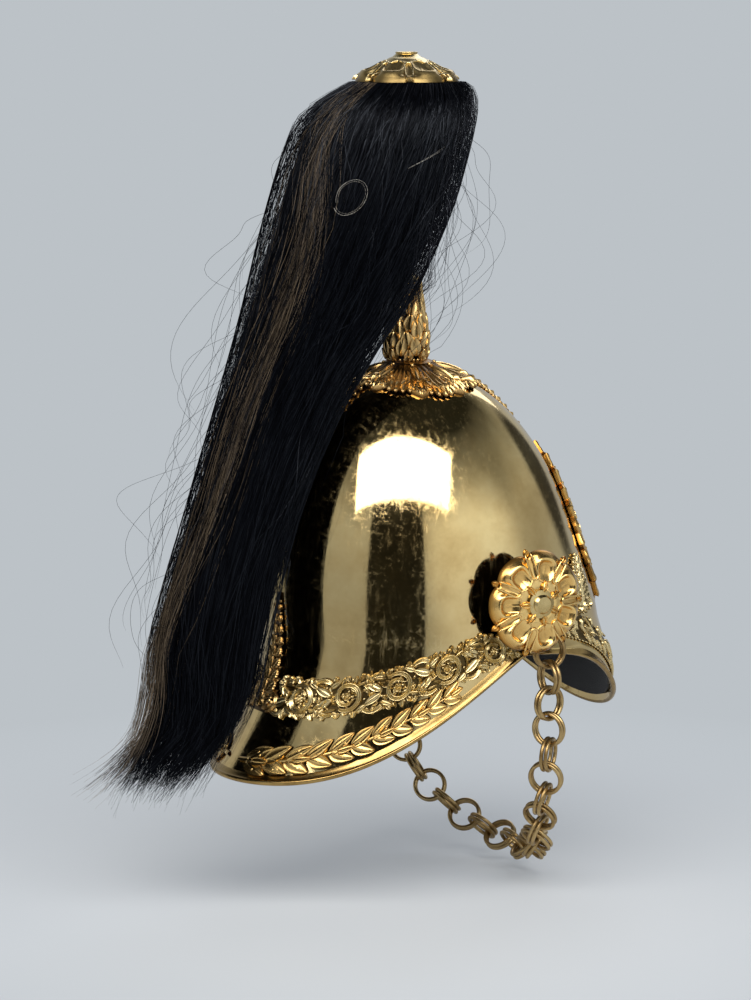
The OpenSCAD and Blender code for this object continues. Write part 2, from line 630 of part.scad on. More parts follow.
// Turned boss in the middle of each ear rosette, with its shank
module rosette_boss() {
    neck = rose_neck;
    top = rose_t + rose_h + 3.5;
    translate([-rose_x, -rose_front, rose_z]) rotate([0, -90, 0]) color(brass)
        rotate_extrude($fn = 48) polygon([[0, 0.1], [neck, 0.1], [neck, rose_t + rose_h + 0.2],
            [boss_r * 0.9, rose_t + rose_h + 1], [boss_r, top - 1.6], [boss_r * 0.8, top], [0, top]]);
}
module rosette_boss_right() { rosette_boss(); }
module rosette_boss_left() { mirror([1, 0, 0]) rosette_boss(); }

// Pillar that stands the rosette off the skull
module rosette_post() {
    foot = abs(on_wall(rose_front, rose_z)) + clear;
    color(brass) translate([-rose_x, -rose_front, rose_z]) rotate([0, 90, 0])
        rotate_extrude($fn = 48) polygon([[0, 0], [rose_r * 0.36, 0], [rose_r * 0.36, 1.6], [5, 3.5],
            [5, rose_x - foot], [0, rose_x - foot]]);
}
module rosette_post_right() { rosette_post(); }
module rosette_post_left() { mirror([1, 0, 0]) rosette_post(); }

// Sideways place of the skull's wall at a given front distance and height
function on_wall(f, z) =
    let(g = z >= 0 ? sin(acos(z / skull_h)) : 1, p = (f / g - skull_mid) / half_len, t = acos(p),
        x0 = skull_w / 2 * pow(1 - pow(abs(p), skull_square), 1 / skull_square) * g)
    -(z >= 0 ? x0 : x0 + (rim_w / 2 - x0) * pow(min(1, -z / ear_drop), flare(80)))
        - brow(t, z) * (sin(t) + pow(cos(t), 2) / sin(t));

// chin chain

// Hook: a pin out of the skull with an upturned end
module chain_hook() {
    pad_r = 3;
    foot = max([for (f = [-pad_r, pad_r], z = [-pad_r, pad_r]) abs(on_wall(hook_front + f, hook_z + z))]) + clear;
    tip = hook_x + pair_off + (ring_wire + hook_wire) / 2 + ring_gap;
    color(old_brass) translate([0, -hook_front, hook_z]) {
        translate([-foot - 1.2, 0, 0]) rotate([0, 90, 0]) cylinder(r = pad_r, h = 1.2, $fn = 32);
        translate([-tip, 0, 0]) rotate([0, 90, 0]) cylinder(d = hook_wire, h = tip - foot - 0.5, $fn = 24);
        translate([-tip, 0, 0]) sphere(d = hook_wire, $fn = 24);
        translate([-tip, 0, 0]) cylinder(d = hook_wire, h = hook_wire * 1.6, $fn = 24);
    }
}
module chain_hook_right() { chain_hook(); }
module chain_hook_left() { mirror([1, 0, 0]) chain_hook(); }

// The chain's line: straight legs from the hooks, then a curve that leans forward
bend_pairs = side_pairs - leg_pairs - 1;
leg_l = (leg_pairs + 0.5) * leg_pitch - hang_gap + ring_r - (ring_wire + hook_wire) / 2;
leg_end = hook_z - leg_l;
arc_half = (bend_pairs + 0.5) * bend_pitch;
curve_steps = 90;
function bend_pt(a, drop) = [hook_x * cos(a), -hook_front - chain_lean * pow(sin(a), 3.5),
    leg_end - drop * sin(a)];
function bend_len(drop, i = 0, sum = 0) = i >= 30 ? sum
    : bend_len(drop, i + 1, sum + norm(bend_pt(3 * i + 3, drop) - bend_pt(3 * i, drop)));
// Depth of the curve that takes the pairs at their pitch
function find_drop(lo, hi, n = 0) = let(m = (lo + hi) / 2)
    n > 18 ? m : bend_len(m) > arc_half ? find_drop(lo, m, n + 1) : find_drop(m, hi, n + 1);
curve_drop = find_drop(10, 220);
function lengths(i = 0, sum = 0, list = []) = i > curve_steps ? list
    : let(a = 90 - i, b = 90 - i + 1, step = i == 0 ? 0
        : norm(bend_pt(a, curve_drop) - bend_pt(b, curve_drop)))
      lengths(i + 1, sum + step, concat(list, [[sum + step, a]]));
curve = lengths();
curve_l = curve[curve_steps][0];
function half_line(l) = l < curve_l ? bend_pt(lookup(l, curve), curve_drop)
    : [hook_x, -hook_front, leg_end + l - curve_l];
// Centre of the pair k, which is negative on the wearer's right
function along_half(k) = k <= bend_pairs + 0.5 ? k * bend_pitch
    : arc_half + (k - bend_pairs - 0.5) * leg_pitch;
function line(k) = let(p = half_line(along_half(abs(k)))) [k < 0 ? -p.x : p.x, p.y, p.z];
function unit(v) = v / norm(v);

module ring_pair(k) {
    along = unit(line(k + 0.5) - line(k - 0.5));
    facing = [0, -1, 0];
    across = unit(cross(along, facing));
    normal = cross(across, along);
    twist = half_twist * min(1, max(0, (side_pairs - abs(k) - 1) / 3));
    axis_a = across * cos(twist) + normal * sin(twist);
    axis_b = normal * cos(twist) - across * sin(twist);
    axis = (side_pairs - abs(k)) % 2 == 0 ? axis_a : axis_b;
    yaw = atan2(axis.y, axis.x);
    lean = acos(axis.z);
    color(old_brass) translate(line(k)) rotate([0, lean, yaw])
        for (side = [-1, 1]) translate([0, 0, side * pair_off])
            rotate_extrude($fn = 48) translate([ring_r, 0]) circle(d = ring_wire, $fn = 16);
}
module chain_hangers() {
    for (k = [-side_pairs, side_pairs]) ring_pair(k);
}
module chain_right() {
    for (k = [-side_pairs + 1:-side_pairs + leg_pairs]) ring_pair(k);
}
module chain_bottom() {
    for (k = [-bend_pairs:bend_pairs]) ring_pair(k);
}
module chain_left() {
    for (k = [side_pairs - leg_pairs:side_pairs - 1]) ring_pair(k);
}

// lining

inside = -skull_wall - clear;
sweat_low = -9;
module sweatband() {
    steps = 36;
    function at(j, z, off) = let(t = j * 360 / steps) plain_skin(t, s_at(t, max(0, z)), off)
        + [0, 0, min(0, z)];
    levels = [sweat_low, sweat_low + sweatband_h / 2, sweat_low + sweatband_h];
    outer = [for (z = levels) [for (j = [0:steps - 1]) at(j, z, inside - 0.3)]];
    inner = [for (i = [2:-1:0]) [for (j = [0:steps - 1]) at(j, levels[i], inside - 0.3 - band_leather)]];
    color(leather) tube([for (r = concat(outer, inner)) [for (j = [steps - 1:-1:0]) r[j]]], wrap = true);
}

// The hammock of the lining, a low dome that starts at the sweatband's top
function hammock(t, s, off) =
    let(p = skull_plan(t, inside - 0.15 - band_leather / 2 + off), z0 = sweat_low + sweatband_h + clear,
        g = sin(acos(z0 / skull_h)) * sin(90 * s))
    [p.x * g, p.y * g, z0 + (tongue_top - z0 + off) * cos(90 * s)];
module crown_tongues() {
    tip = 0.26;
    color(leather) for (i = [0:tongues - 1]) {
        mid = (i + 0.5) * 360 / tongues;
        rows = [for (k = [0:4]) let(s = 1 - (1 - tip) * k / 4,
            half = 180 / tongues * (k < 2 ? 0.92 : 0.92 - 0.12 * (k - 1)))
            [for (j = [-1:1]) [mid + half * j, s]]];
        top = [for (r = rows) [for (p = r) hammock(p[0], p[1], 0)]];
        under = [for (r = rows) [for (p = r) hammock(p[0], p[1], -tongue_t)]];
        slab(top, under);
    }
}

module tongue_cord() {
    steps = 24;
    r = 1.2;
    rows = [for (j = [0:steps - 1]) let(t = j * 360 / steps, c = hammock(t, 0.3, -tongue_t - r - clear - 0.9),
        out = unit([c.x, c.y + skull_mid * 0.4, 0]))
        [for (a = [0:60:300]) c + out * r * cos(a) + [0, 0, 1] * r * sin(a)]];
    color(leather) tube(rows, wrap = true);
}

// Leather facing inside a peak
module facing(from, to, steps, high) {
    low = skirt_rows;
    function s(t, k) = k == low ? 2 - facing_margin / mm_s(t, 1.95)
        : k == 0 ? s_at(t, high) : max(s_at(t, high) + 0.012 * k, 1 + k / skirt_rows);
    function at(i, k, off) = let(t = from + (to - from) * i / steps) skin(t, s(t, k), off);
    top = [for (k = [0:low]) [for (i = [0:steps]) at(i, k, inside - 0.4)]];
    under = [for (k = [0:low]) [for (i = [0:steps]) at(i, k, inside - 0.4 - facing_t)]];
    color(black) slab(under, top);
}
module front_facing() { facing(-60, 60, 16, sweat_low - 0.6); }
module rear_facing() { facing(112.5, 247.5, 18, sweat_low - 0.6); }

skull();
front_edge();
rear_edge();
side_band_right();
side_band_left();
front_band();
rear_ornament();
laurel_right();
laurel_left();
front_spray_right();
front_spray_left();
front_plate();
plate_boss();
crown_plate();
socket_tube();
socket_leaves();
crown_washer();
crown_nut();
plume_stem();
plume_disc();
plume_hair();
top_rosette();
top_cap();
ear_rosette_right();
ear_rosette_left();
rosette_boss_right();
rosette_boss_left();
rosette_post_right();
rosette_post_left();
chain_hook_right();
chain_hook_left();
chain_hangers();
chain_right();
chain_bottom();
chain_left();
sweatband();
crown_tongues();
tongue_cord();
front_facing();
rear_facing();
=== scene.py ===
import math
import bpy
import numpy as np
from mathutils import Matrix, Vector


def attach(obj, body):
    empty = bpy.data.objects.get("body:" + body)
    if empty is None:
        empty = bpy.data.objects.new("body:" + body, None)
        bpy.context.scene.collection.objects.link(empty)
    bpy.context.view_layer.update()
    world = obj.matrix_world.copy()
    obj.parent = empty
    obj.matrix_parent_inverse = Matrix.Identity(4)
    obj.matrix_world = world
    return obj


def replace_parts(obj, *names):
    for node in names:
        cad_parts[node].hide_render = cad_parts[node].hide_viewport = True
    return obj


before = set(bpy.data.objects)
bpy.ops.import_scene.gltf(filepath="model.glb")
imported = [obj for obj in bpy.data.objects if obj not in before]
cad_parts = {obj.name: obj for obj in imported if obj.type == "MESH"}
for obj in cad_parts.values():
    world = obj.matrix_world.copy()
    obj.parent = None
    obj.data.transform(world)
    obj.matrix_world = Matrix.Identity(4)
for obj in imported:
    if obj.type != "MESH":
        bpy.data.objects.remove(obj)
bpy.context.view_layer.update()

bl_info = {
    "name": "Dragoon helmet",
    "version": (1, 0, 0),
    "blender": (4, 5, 0),
    "location": "View3D > Sidebar > Helmet",
    "description": "Dresses the packed dragoon helmet with its foliage, roses, horsehair and finishes",
    "category": "Add Mesh",
}

MM = 0.001
TURN = 2 * math.pi
SHAPES = {}
FINISHES = {}

# Values shared with the part's source, in millimetres and degrees
SKULL_W, SKULL_FRONT, SKULL_BACK, SKULL_H = 190.0, 123.0, 97.0, 172.0
WALL, SQUARE, BROW = 1.2, 2.2, 15.0
RIM_W, FRONT_REACH, REAR_REACH = 193.0, 146.0, 140.0
FRONT_DROP, REAR_DROP, EAR_DROP, EAR_FRONT = 72.0, 95.0, 13.0, 37.0
PEAK_SQUARE, REAR_SQUARE, RIM_MID = 2.7, 2.1, 20.0
HALF_LEN = (SKULL_FRONT + SKULL_BACK) / 2
SKULL_MID = (SKULL_FRONT - SKULL_BACK) / 2
BROW_Z, BROW_FADE = -12.0, 46.0
BAND_START, BAND_END, BAND_W, BAND_DROP, BAND_TAPER = 81.0, 171.0, 25.0, 41.0, 15.0
REAR_ORN_W, REAR_ORN_H = 34.0, 78.0
FRONT_LOW, FRONT_TALL, FRONT_SPAN = 11.0, 25.0, 66.0
PLATE_Z, PLATE_W, PLATE_H = 60.0, 104.0, 134.0
SPRAY_T = 45.0
CROWN_T, CROWN_HOLE = 4.0, 4.5
CROWN_Z = SKULL_H + CROWN_T + 0.1
SOCKET_TOP = CROWN_Z + 54.0
DISC_Z, DISC_T = SOCKET_TOP + 129.0, 3.5
ROSE_R, ROSE_X, ROSE_FRONT, ROSE_Z = 35.0, 110.0, 35.0, 24.0
ROSE_BASE = DISC_Z + DISC_T + 0.3
HAIR_R, HAIR_L = 49.0, 462.0
HAIR_TOP = DISC_Z + DISC_T


# The skull's surface
# t runs round from the front by the wearer's right, s is 0 at the crown, 1 at the sweatband, 2 at the rim
def cosd(a):
    return np.cos(np.radians(a))


def sind(a):
    return np.sin(np.radians(a))


def eased(c, n, soft):
    """|c| to the power n, rounded off near 0 and still 1 at 1."""
    return ((c * c + soft * soft) ** (n / 2) - soft ** n) / ((1 + soft * soft) ** (n / 2) - soft ** n)


def outline(t, half, mid, front, back, nf, nb, soft=0.2):
    """Rounded-square plan; soft keeps the curvature from vanishing where it crosses the axes."""
    c, s = cosd(t), sind(t)
    ahead = c >= 0
    n = np.where(ahead, nf, nb)
    reach = np.where(ahead, front, back)
    r = (eased(c, n, soft) / reach ** n + eased(s, n, soft) / half ** n) ** (-1 / n)
    return -r * s, -mid - r * c


def skull_plan(t, off=0.0):
    """The skull's outline at the sweatband."""
    return outline(t, SKULL_W / 2 + off, SKULL_MID, HALF_LEN + off, HALF_LEN + off, SQUARE, SQUARE)


def rim_plan(t, off=0.0):
    """The outline of the peaks' rim from above."""
    front, back = FRONT_REACH - RIM_MID + off, REAR_REACH + RIM_MID + off
    return outline(t, RIM_W / 2 + off, RIM_MID, front, back, PEAK_SQUARE, REAR_SQUARE)


def to_back(t):
    """How far round the rim from the ears to the back, 0 to 1."""
    return (rim_plan(t)[1] + EAR_FRONT) / (REAR_REACH + EAR_FRONT)


def rim_z(t):
    """Height of the rim, which dips over the brow and further over the neck."""
    y = rim_plan(t)[1]
    ahead = np.clip((-y - EAR_FRONT) / (FRONT_REACH - EAR_FRONT), 0, None)
    behind = np.clip(to_back(t), 0, None)
    return np.where(ahead > 0, -EAR_DROP - (FRONT_DROP - EAR_DROP) * ahead ** 2.7,
                    -EAR_DROP - (REAR_DROP - EAR_DROP) * sind(90 * behind ** 1.06))


def brow(t, z):
    """How far the brow swells beyond the plain outline."""
    rim = rim_z(t)
    low = cosd(90 * np.clip((z - BROW_Z) / (rim - BROW_Z), 0, 1))
    high = np.exp(-((z - BROW_Z) / BROW_FADE) ** 2)
    return BROW * np.clip(cosd(t), 0, None) ** 2 * np.where(z > BROW_Z, high, low)


def skin(t, s, off=0.0):
    """The point at (t, s) on the skull, off millimetres outside it."""
    t, s, off = np.broadcast_arrays(np.asarray(t, float), np.asarray(s, float), np.asarray(off, float))
    px, py = skull_plan(t, off)
    rx, ry = rim_plan(t, off)
    up = 90 * np.clip(s, 0, 1)
    g = sind(up)
    q = np.clip(s - 1, 0, None)
    m = eased(q, 1.5 - 0.15 * cosd(t), 0.08)
    dome = s <= 1
    low = rim_z(t) * q
    x = np.where(dome, px * g, px + (rx - px) * m)
    y = np.where(dome, py * g, py + (ry - py) * m)
    z = np.where(dome, (SKULL_H + off) * cosd(up), low)
    b = brow(t, np.where(dome, SKULL_H * cosd(up), low))
    return np.stack([x - b * sind(t), y - b * cosd(t), z], -1)


def normal(t, s):
    """The direction straight out of the skull at (t, s)."""
    a = skin(t + 0.2, s) - skin(t - 0.2, s)
    b = skin(t, np.minimum(s + 0.003, 2.0)) - skin(t, s - 0.003)
    n = np.cross(b, a)
    return n / np.linalg.norm(n, axis=-1, keepdims=True)


def s_at(t, z):
    """The s of height z at t."""
    z = np.asarray(z, float)
    return np.where(z >= 0, np.degrees(np.arccos(np.clip(z / SKULL_H, -1, 1))) / 90, 1 + z / rim_z(t))


def patch(t0, s0):
    """Maps (u, v, h) beside the point (t0, s0) on the skull: u runs round it, v down it and h off it."""
    kt = float(np.linalg.norm(skin(t0 + 1, s0) - skin(t0 - 1, s0)) / 2)
    ks = float(np.linalg.norm(skin(t0, s0 + 0.01) - skin(t0, s0 - 0.01)) / 0.02)
    return lambda u, v, h: skin(t0 + u / kt, s0 + v / ks, h)


def ring(a, r, h):
    """Points at angle a in radians, r out from the middle and h up."""
    return np.stack([r * np.cos(a), r * np.sin(a), h + 0 * a], -1)


def dial(a, across, down, h):
    """Points at angle a in degrees round an oval, from its lowest point."""
    return np.stack([across * sind(a), -down * cosd(a), h], -1)


def smooth(x, lo, hi):
    """Rises evenly from 0 at lo to 1 at hi."""
    k = np.clip((x - lo) / (hi - lo), 0, 1)
    return k * k * (3 - 2 * k)


# Colours and materials
def hexcol(text):
    """An sRGB hex value as linear red, green, blue and alpha."""
    out = []
    for i in (0, 2, 4):
        c = int(text[i:i + 2], 16) / 255
        out.append(c / 12.92 if c <= 0.04045 else ((c + 0.055) / 1.055) ** 2.4)
    return (*out, 1.0)


def add(mat, kind, sets=None, links=None, stops=(), **attrs):
    """Adds a node with its attributes, input values, links from other sockets and a ramp's colour stops."""
    n = mat.node_tree.nodes.new(kind)
    for k, v in attrs.items():
        setattr(n, k, v)
    for k, v in (sets or {}).items():
        n.inputs[k].default_value = v
    for k, v in (links or {}).items():
        mat.node_tree.links.new(v, n.inputs[k])
    for _ in stops[2:]:
        n.color_ramp.elements.new(0.5)
    for i, (at, colour) in enumerate(stops):
        stop = n.color_ramp.elements[i]
        stop.position = at
        stop.color = hexcol(colour) if isinstance(colour, str) else colour
    return n


def new_material(name):
    """An empty material and its Object coordinates."""
    m = bpy.data.materials.new(name)
    m.use_nodes = True
    m.node_tree.nodes.clear()
    return m, add(m, "ShaderNodeTexCoord").outputs["Object"]


def cloudy(mat, coords, per_metre, detail, rough=0.55, stretch=(1, 1, 1), turn=(0, 0, 0)):
    """A cloudy pattern with about per_metre of its largest patches to the metre."""
    m = add(mat, "ShaderNodeMapping", {"Scale": stretch, "Rotation": turn}, {"Vector": coords})
    sets = {"Scale": per_metre, "Detail": detail, "Roughness": rough}
    return add(mat, "ShaderNodeTexNoise", sets, {"Vector": m.outputs["Vector"]}).outputs["Fac"]


def surfaced(mat, sets, links):
    """Closes a material with its one surface."""
    shader = add(mat, "ShaderNodeBsdfPrincipled", sets, links)
    add(mat, "ShaderNodeOutputMaterial", links={"Surface": shader.outputs["BSDF"]})
    return mat


def buffed_sheet(name):
    """Raised brass sheet: a pale mirror with hairline scratches, soft dents and faint tarnish."""
    m, pos = new_material(name)
    cloud = cloudy(m, pos, 16, 6, 0.62)
    down = cloudy(m, pos, 260, 3, 0.7, (1, 1, 0.12), (0.5, 0.3, 0))
    across = cloudy(m, pos, 300, 3, 0.7, (0.1, 1, 1), (0, 0.6, 0.4))
    tarnish = [(0.3, "BFA168"), (0.47, "D6BA80"), (0.6, "E0C78E"), (0.75, "E8D4A2")]
    col = add(m, "ShaderNodeValToRGB", links={"Fac": cloud}, stops=tarnish).outputs["Color"]
    scratch = add(m, "ShaderNodeMath", links={0: down, 1: across}, operation="MAXIMUM").outputs[0]
    rough = add(m, "ShaderNodeMapRange", {"From Min": 0.5, "From Max": 0.8, "To Min": 0.07, "To Max": 0.3},
                {"Value": scratch}).outputs[0]
    cut = add(m, "ShaderNodeBump", {"Strength": 0.05, "Distance": 0.0003}, {"Height": scratch})
    wave = cloudy(m, pos, 22, 2)
    dents = add(m, "ShaderNodeBump", {"Strength": 0.06, "Distance": 0.002},
                {"Height": wave, "Normal": cut.outputs["Normal"]})
    return surfaced(m, {"Metallic": 1.0},
                    {"Base Color": col, "Roughness": rough, "Normal": dents.outputs["Normal"]})


def carved_metal(name, low, mid, high, rough_low, rough_high):
    """Stamped brass: painted shade dark in the hollows, crests worn bright, as the 'relief' attribute says.
    """
    m, pos = new_material(name)
    rel = add(m, "ShaderNodeAttribute", attribute_name="relief", attribute_type="GEOMETRY").outputs["Fac"]
    cloud = cloudy(m, pos, 55, 5)
    both = add(m, "ShaderNodeMath", {1: 0.35, 2: -0.17}, {0: cloud}, operation="MULTIPLY_ADD").outputs[0]
    where = add(m, "ShaderNodeMath", links={0: rel, 1: both}, operation="ADD").outputs[0]
    # painted shade where the relief is low, wear where it is high
    tone_stops = [(0.05, low), (0.3, mid), (0.8, high)]
    col = add(m, "ShaderNodeValToRGB", links={"Fac": where}, stops=tone_stops).outputs["Color"]
    span = {"To Min": rough_low, "To Max": rough_high}
    rough = add(m, "ShaderNodeMapRange", span, {"Value": where}).outputs[0]
    grain = cloudy(m, pos, 900, 3)
    bump = add(m, "ShaderNodeBump", {"Strength": 0.12, "Distance": 0.0002}, {"Height": grain})
    return surfaced(m, {"Metallic": 1.0},
                    {"Base Color": col, "Roughness": rough, "Normal": bump.outputs["Normal"]})


def plain_metal(name, dark, light, rough_dark, rough_light):
    """Turned or drawn brass with cloudy patina and a fine grain."""
    m, pos = new_material(name)
    cloud = cloudy(m, pos, 60, 6, 0.6)
    age = [(0.32, dark), (0.68, light)]
    col = add(m, "ShaderNodeValToRGB", links={"Fac": cloud}, stops=age).outputs["Color"]
    span = {"From Min": 0.3, "From Max": 0.7, "To Min": rough_dark, "To Max": rough_light}
    rough = add(m, "ShaderNodeMapRange", span, {"Value": cloud}).outputs[0]
    grain = cloudy(m, pos, 700, 3)
    bump = add(m, "ShaderNodeBump", {"Strength": 0.15, "Distance": 0.0002}, {"Height": grain})
    return surfaced(m, {"Metallic": 1.0},
                    {"Base Color": col, "Roughness": rough, "Normal": bump.outputs["Normal"]})


def leather(name, dark, light, rough, per_metre):
    """Tanned leather or waxed cord: per_metre fine pebbles to the metre, with worn, lighter patches."""
    m, pos = new_material(name)
    cells = add(m, "ShaderNodeTexVoronoi", {"Scale": per_metre}, {"Vector": pos},
                feature="DISTANCE_TO_EDGE").outputs["Distance"]
    cloud = cloudy(m, pos, 35, 5)
    tone_stops = [(0.3, dark), (0.7, light)]
    col = add(m, "ShaderNodeValToRGB", links={"Fac": cloud}, stops=tone_stops).outputs["Color"]
    grain = add(m, "ShaderNodeMath", {1: 6.0}, {0: cells}, operation="MULTIPLY").outputs[0]
    bump = add(m, "ShaderNodeBump", {"Strength": 0.35, "Distance": 0.0004}, {"Height": grain})
    return surfaced(m, {"Roughness": rough}, {"Base Color": col, "Normal": bump.outputs["Normal"]})


def horsehair(name, dark, light, rough, gloss):
    """Washed horsehair, each strand with a tone of its own and a cool gloss on the lighter ones."""
    m, pos = new_material(name)
    tone = add(m, "ShaderNodeAttribute", attribute_name="tone", attribute_type="GEOMETRY").outputs["Fac"]
    along = cloudy(m, pos, 90, 3, 0.6, (1, 1, 0.15))
    total = add(m, "ShaderNodeMath", links={0: tone, 1: along}, operation="ADD").outputs[0]
    both = add(m, "ShaderNodeMath", {1: 0.5}, {0: total}, operation="MULTIPLY").outputs[0]
    shades = [(0.25, dark), (0.75, light)]
    col = add(m, "ShaderNodeValToRGB", links={"Fac": both}, stops=shades).outputs["Color"]
    span = {"From Min": 0.55, "From Max": 0.78, "To Min": gloss * 0.2, "To Max": gloss}
    sheen = add(m, "ShaderNodeMapRange", span, {"Value": both}).outputs[0]
    return surfaced(m, {"Roughness": rough, "Specular Tint": hexcol("D6E0F2")},
                    {"Base Color": col, "Specular IOR Level": sheen})


def make_finishes():
    """Every finish of the helmet, named for the real material."""
    # Rolled sheet, raised and buffed: mirrors the room, softened by hairlines
    FINISHES["skull"] = buffed_sheet("Buffed raised brass")
    # Fire gilding over stamped brass: warm, softly matt, painted shade in the folds, burnished on the swells
    FINISHES["gilt"] = carved_metal("Fire-gilt stamped brass", "5A3E1A", "BC8C44", "E6C27C", 0.36, 0.18)
    # Thinner gilding on the scrolled bands, paler and greyer where worn, with painted shade in the hollows
    FINISHES["pale"] = carved_metal("Worn gilt stamped brass", "55462A", "A68E5C", "D6C290", 0.4, 0.24)
    # Darker gilding, bright only on the crests, with painted shade deep in the hollows
    FINISHES["bronze"] = carved_metal("Dark gilt brass with painted shade", "261B0D", "927042", "D6B478", 0.42, 0.22)
    # The backs of the ear roses, painted nearly black as the shade behind the roses
    FINISHES["painted_shade_back"] = carved_metal("Rose backs painted in shade", "0C0906", "1E160C", "4A371C", 0.6, 0.45)
    # Drawn wire, brown with age and satin from wear
    FINISHES["chain"] = plain_metal("Aged drawn brass wire", "8E744A", "C4AA78", 0.44, 0.3)
    # Gilding on the laurel, with painted shade brown in the veins and hollows
    FINISHES["laurel"] = carved_metal("Brown-gilt laurel brass", "2A1C0C", "94713A", "D9B673", 0.4, 0.2)
    # Lathe-turned and buffed: pale and nearly a mirror
    FINISHES["turned"] = plain_metal("Turned buffed brass", "B49A62", "D9C28A", 0.26, 0.14)
    # Drawn half round, rubbed smooth where hands lift the helmet
    FINISHES["edge"] = plain_metal("Drawn brass binding", "8E7242", "B4975F", 0.3, 0.15)
    # Waxed facings inside the peaks: black, with a low sheen
    FINISHES["black"] = leather("Black waxed leather", "070708", "121214", 0.55, 900)
    # Sheepskin against the head: red-brown, worn lighter
    FINISHES["brown"] = leather("Brown roan leather", "3A2315", "6B4630", 0.5, 800)
    # Twisted linen, matt and tan
    FINISHES["cord"] = leather("Waxed linen cord", "7A6A4C", "A8987A", 0.7, 1500)
    # Dyed: near black, with a cool gloss on a few hairs only
    FINISHES["hair"] = horsehair("Dyed black horsehair", "010102", "0A0C11", 0.3, 0.3)
    # The depth of the fall, where no light returns
    FINISHES["heart"] = horsehair("Shadowed horsehair", "010101", "020203", 0.9, 0.02)
    # Hairs that never took the dye
    FINISHES["pale_hair"] = horsehair("Undyed horsehair", "8C8880", "CBC8C0", 0.45, 0.4)
    # Hairs whose dye has faded to brown
    FINISHES["brown_hair"] = horsehair("Faded brown horsehair", "1C1814", "6E604E", 0.42, 0.4)


# Modelling helpers
def pick(o=None):
    """Leaves edit mode and makes o the only selected object."""
    if bpy.context.object and bpy.context.object.mode != "OBJECT":
        bpy.ops.object.mode_set(mode="OBJECT")
    bpy.ops.object.select_all(action="DESELECT")
    if o:
        o.select_set(True)
        bpy.context.view_layer.objects.active = o


def dress(o, name, finish, body, angle=60.0):
    """Names a finished piece, shades it, gives it its material and fixes it to its CAD body."""
    pick(o)
    o.name = o.data.name = name
    bpy.ops.object.shade_smooth_by_angle(angle=math.radians(angle))
    o.data.materials.clear()
    o.data.materials.append(FINISHES[finish])
    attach(o, body)
    return o


def apply(o, kind, **settings):
    """Adds a modifier and applies it."""
    pick(o)
    mod = o.modifiers.new(kind.title(), kind)
    for k, v in settings.items():
        setattr(mod, k, v)
    bpy.ops.object.modifier_apply(modifier=mod.name)


def on_all_faces(o, operator, **settings):
    """Runs one mesh operator on all of an object's faces."""
    pick(o)
    bpy.ops.object.mode_set(mode="EDIT")
    bpy.ops.mesh.select_all(action="SELECT")
    operator(**settings)
    bpy.ops.object.mode_set(mode="OBJECT")


def draped(nu, nv, place, close=False, flip=False):
    """A grid primitive whose points move to place(u, v), u and v from 0 to 1; close welds seams and poles."""
    pick()
    bpy.ops.mesh.primitive_grid_add(x_subdivisions=nu, y_subdivisions=nv, size=2)
    o = bpy.context.object
    co = np.empty(len(o.data.vertices) * 3)
    o.data.vertices.foreach_get("co", co)
    co = co.reshape(-1, 3)
    pts = np.asarray(place((co[:, 0] + 1) / 2, (co[:, 1] + 1) / 2), float)
    o.data.vertices.foreach_set("co", (pts * MM).ravel())
    if close:
        on_all_faces(o, bpy.ops.mesh.remove_doubles, threshold=1e-5)
    if flip:
        on_all_faces(o, bpy.ops.mesh.flip_normals)
    o.data.update()
    return o


def take(o):
    """A template from an object: its points in millimetres, its faces turned to look up or outwards, and
    how high each point lies from 0 to 1."""
    me = o.data
    co = np.empty(len(me.vertices) * 3)
    me.vertices.foreach_get("co", co)
    co = co.reshape(-1, 3) * (1 / MM)
    faces = [tuple(p.vertices) for p in me.polygons]
    up = volume = total = 0.0
    for f in faces:
        p = co[list(f)]
        n = sum(np.cross(p[i] - p[0], p[i + 1] - p[0]) for i in range(1, len(f) - 1)) / 2
        up += n[2]
        total += np.linalg.norm(n)
        volume += n @ p.mean(0)
    if (up if abs(up) > 0.1 * total else volume) < 0:
        faces = [f[::-1] for f in faces]
    lo, hi = co[:, 2].min(), co[:, 2].max()
    bpy.data.objects.remove(o)
    return co, faces, (co[:, 2] - lo) / max(hi - lo, 1e-6)


def linked(name, data):
    """An object with this data in the scene."""
    o = bpy.data.objects.new(name, data)
    bpy.context.scene.collection.objects.link(o)
    return o


def stamp(name, items, finish, body, slot, *nodes):
    """One piece from copies of templates, each turned, sized and set at (u, v), then laid on its surface."""
    pts, faces, relief, base = [], [], [], 0
    for (co, fs, high_0_1), lay, k in items:
        a = math.radians(k.get("turn", 0))
        size, wide, high = k.get("size", 1.0), k.get("wide", 1.0), k.get("high", 1.0)
        mirror = -1 if k.get("flip", False) else 1

        def place(c):
            x, y = c[:, 0] * size, c[:, 1] * size * wide * mirror
            u = k.get("u", 0) + x * math.cos(a) - y * math.sin(a)
            v = k.get("v", 0) + x * math.sin(a) + y * math.cos(a)
            return lay(u, v, c[:, 2] * high + k.get("lift", 0))
        probe = place(co.mean(0) + np.array([[0, 0, 0], [0.05, 0, 0], [0, 0.05, 0], [0, 0, 0.05]]))
        turned = np.linalg.det(probe[1:] - probe[0]) < 0
        pts.append(place(co))
        faces += [tuple(base + i for i in (f[::-1] if turned else f)) for f in fs]
        # each point's height times shine, plus dim: the carved finishes paint low values in shade, so a small
        # shine, as on the grounds, paints a piece in shade
        relief.append(high_0_1 * k.get("shine", 1.0) + k.get("dim", 0.0))
        base += len(co)
    me = bpy.data.meshes.new(name)
    me.from_pydata([tuple(p) for p in (np.concatenate(pts) * MM)], [], faces)
    values = np.concatenate(relief).astype(np.float32)
    me.attributes.new("relief", "FLOAT", "POINT").data.foreach_set("value", values)
    o = linked(name, me)
    dress(o, name, finish, body)
    if nodes:
        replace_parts(o, *nodes)


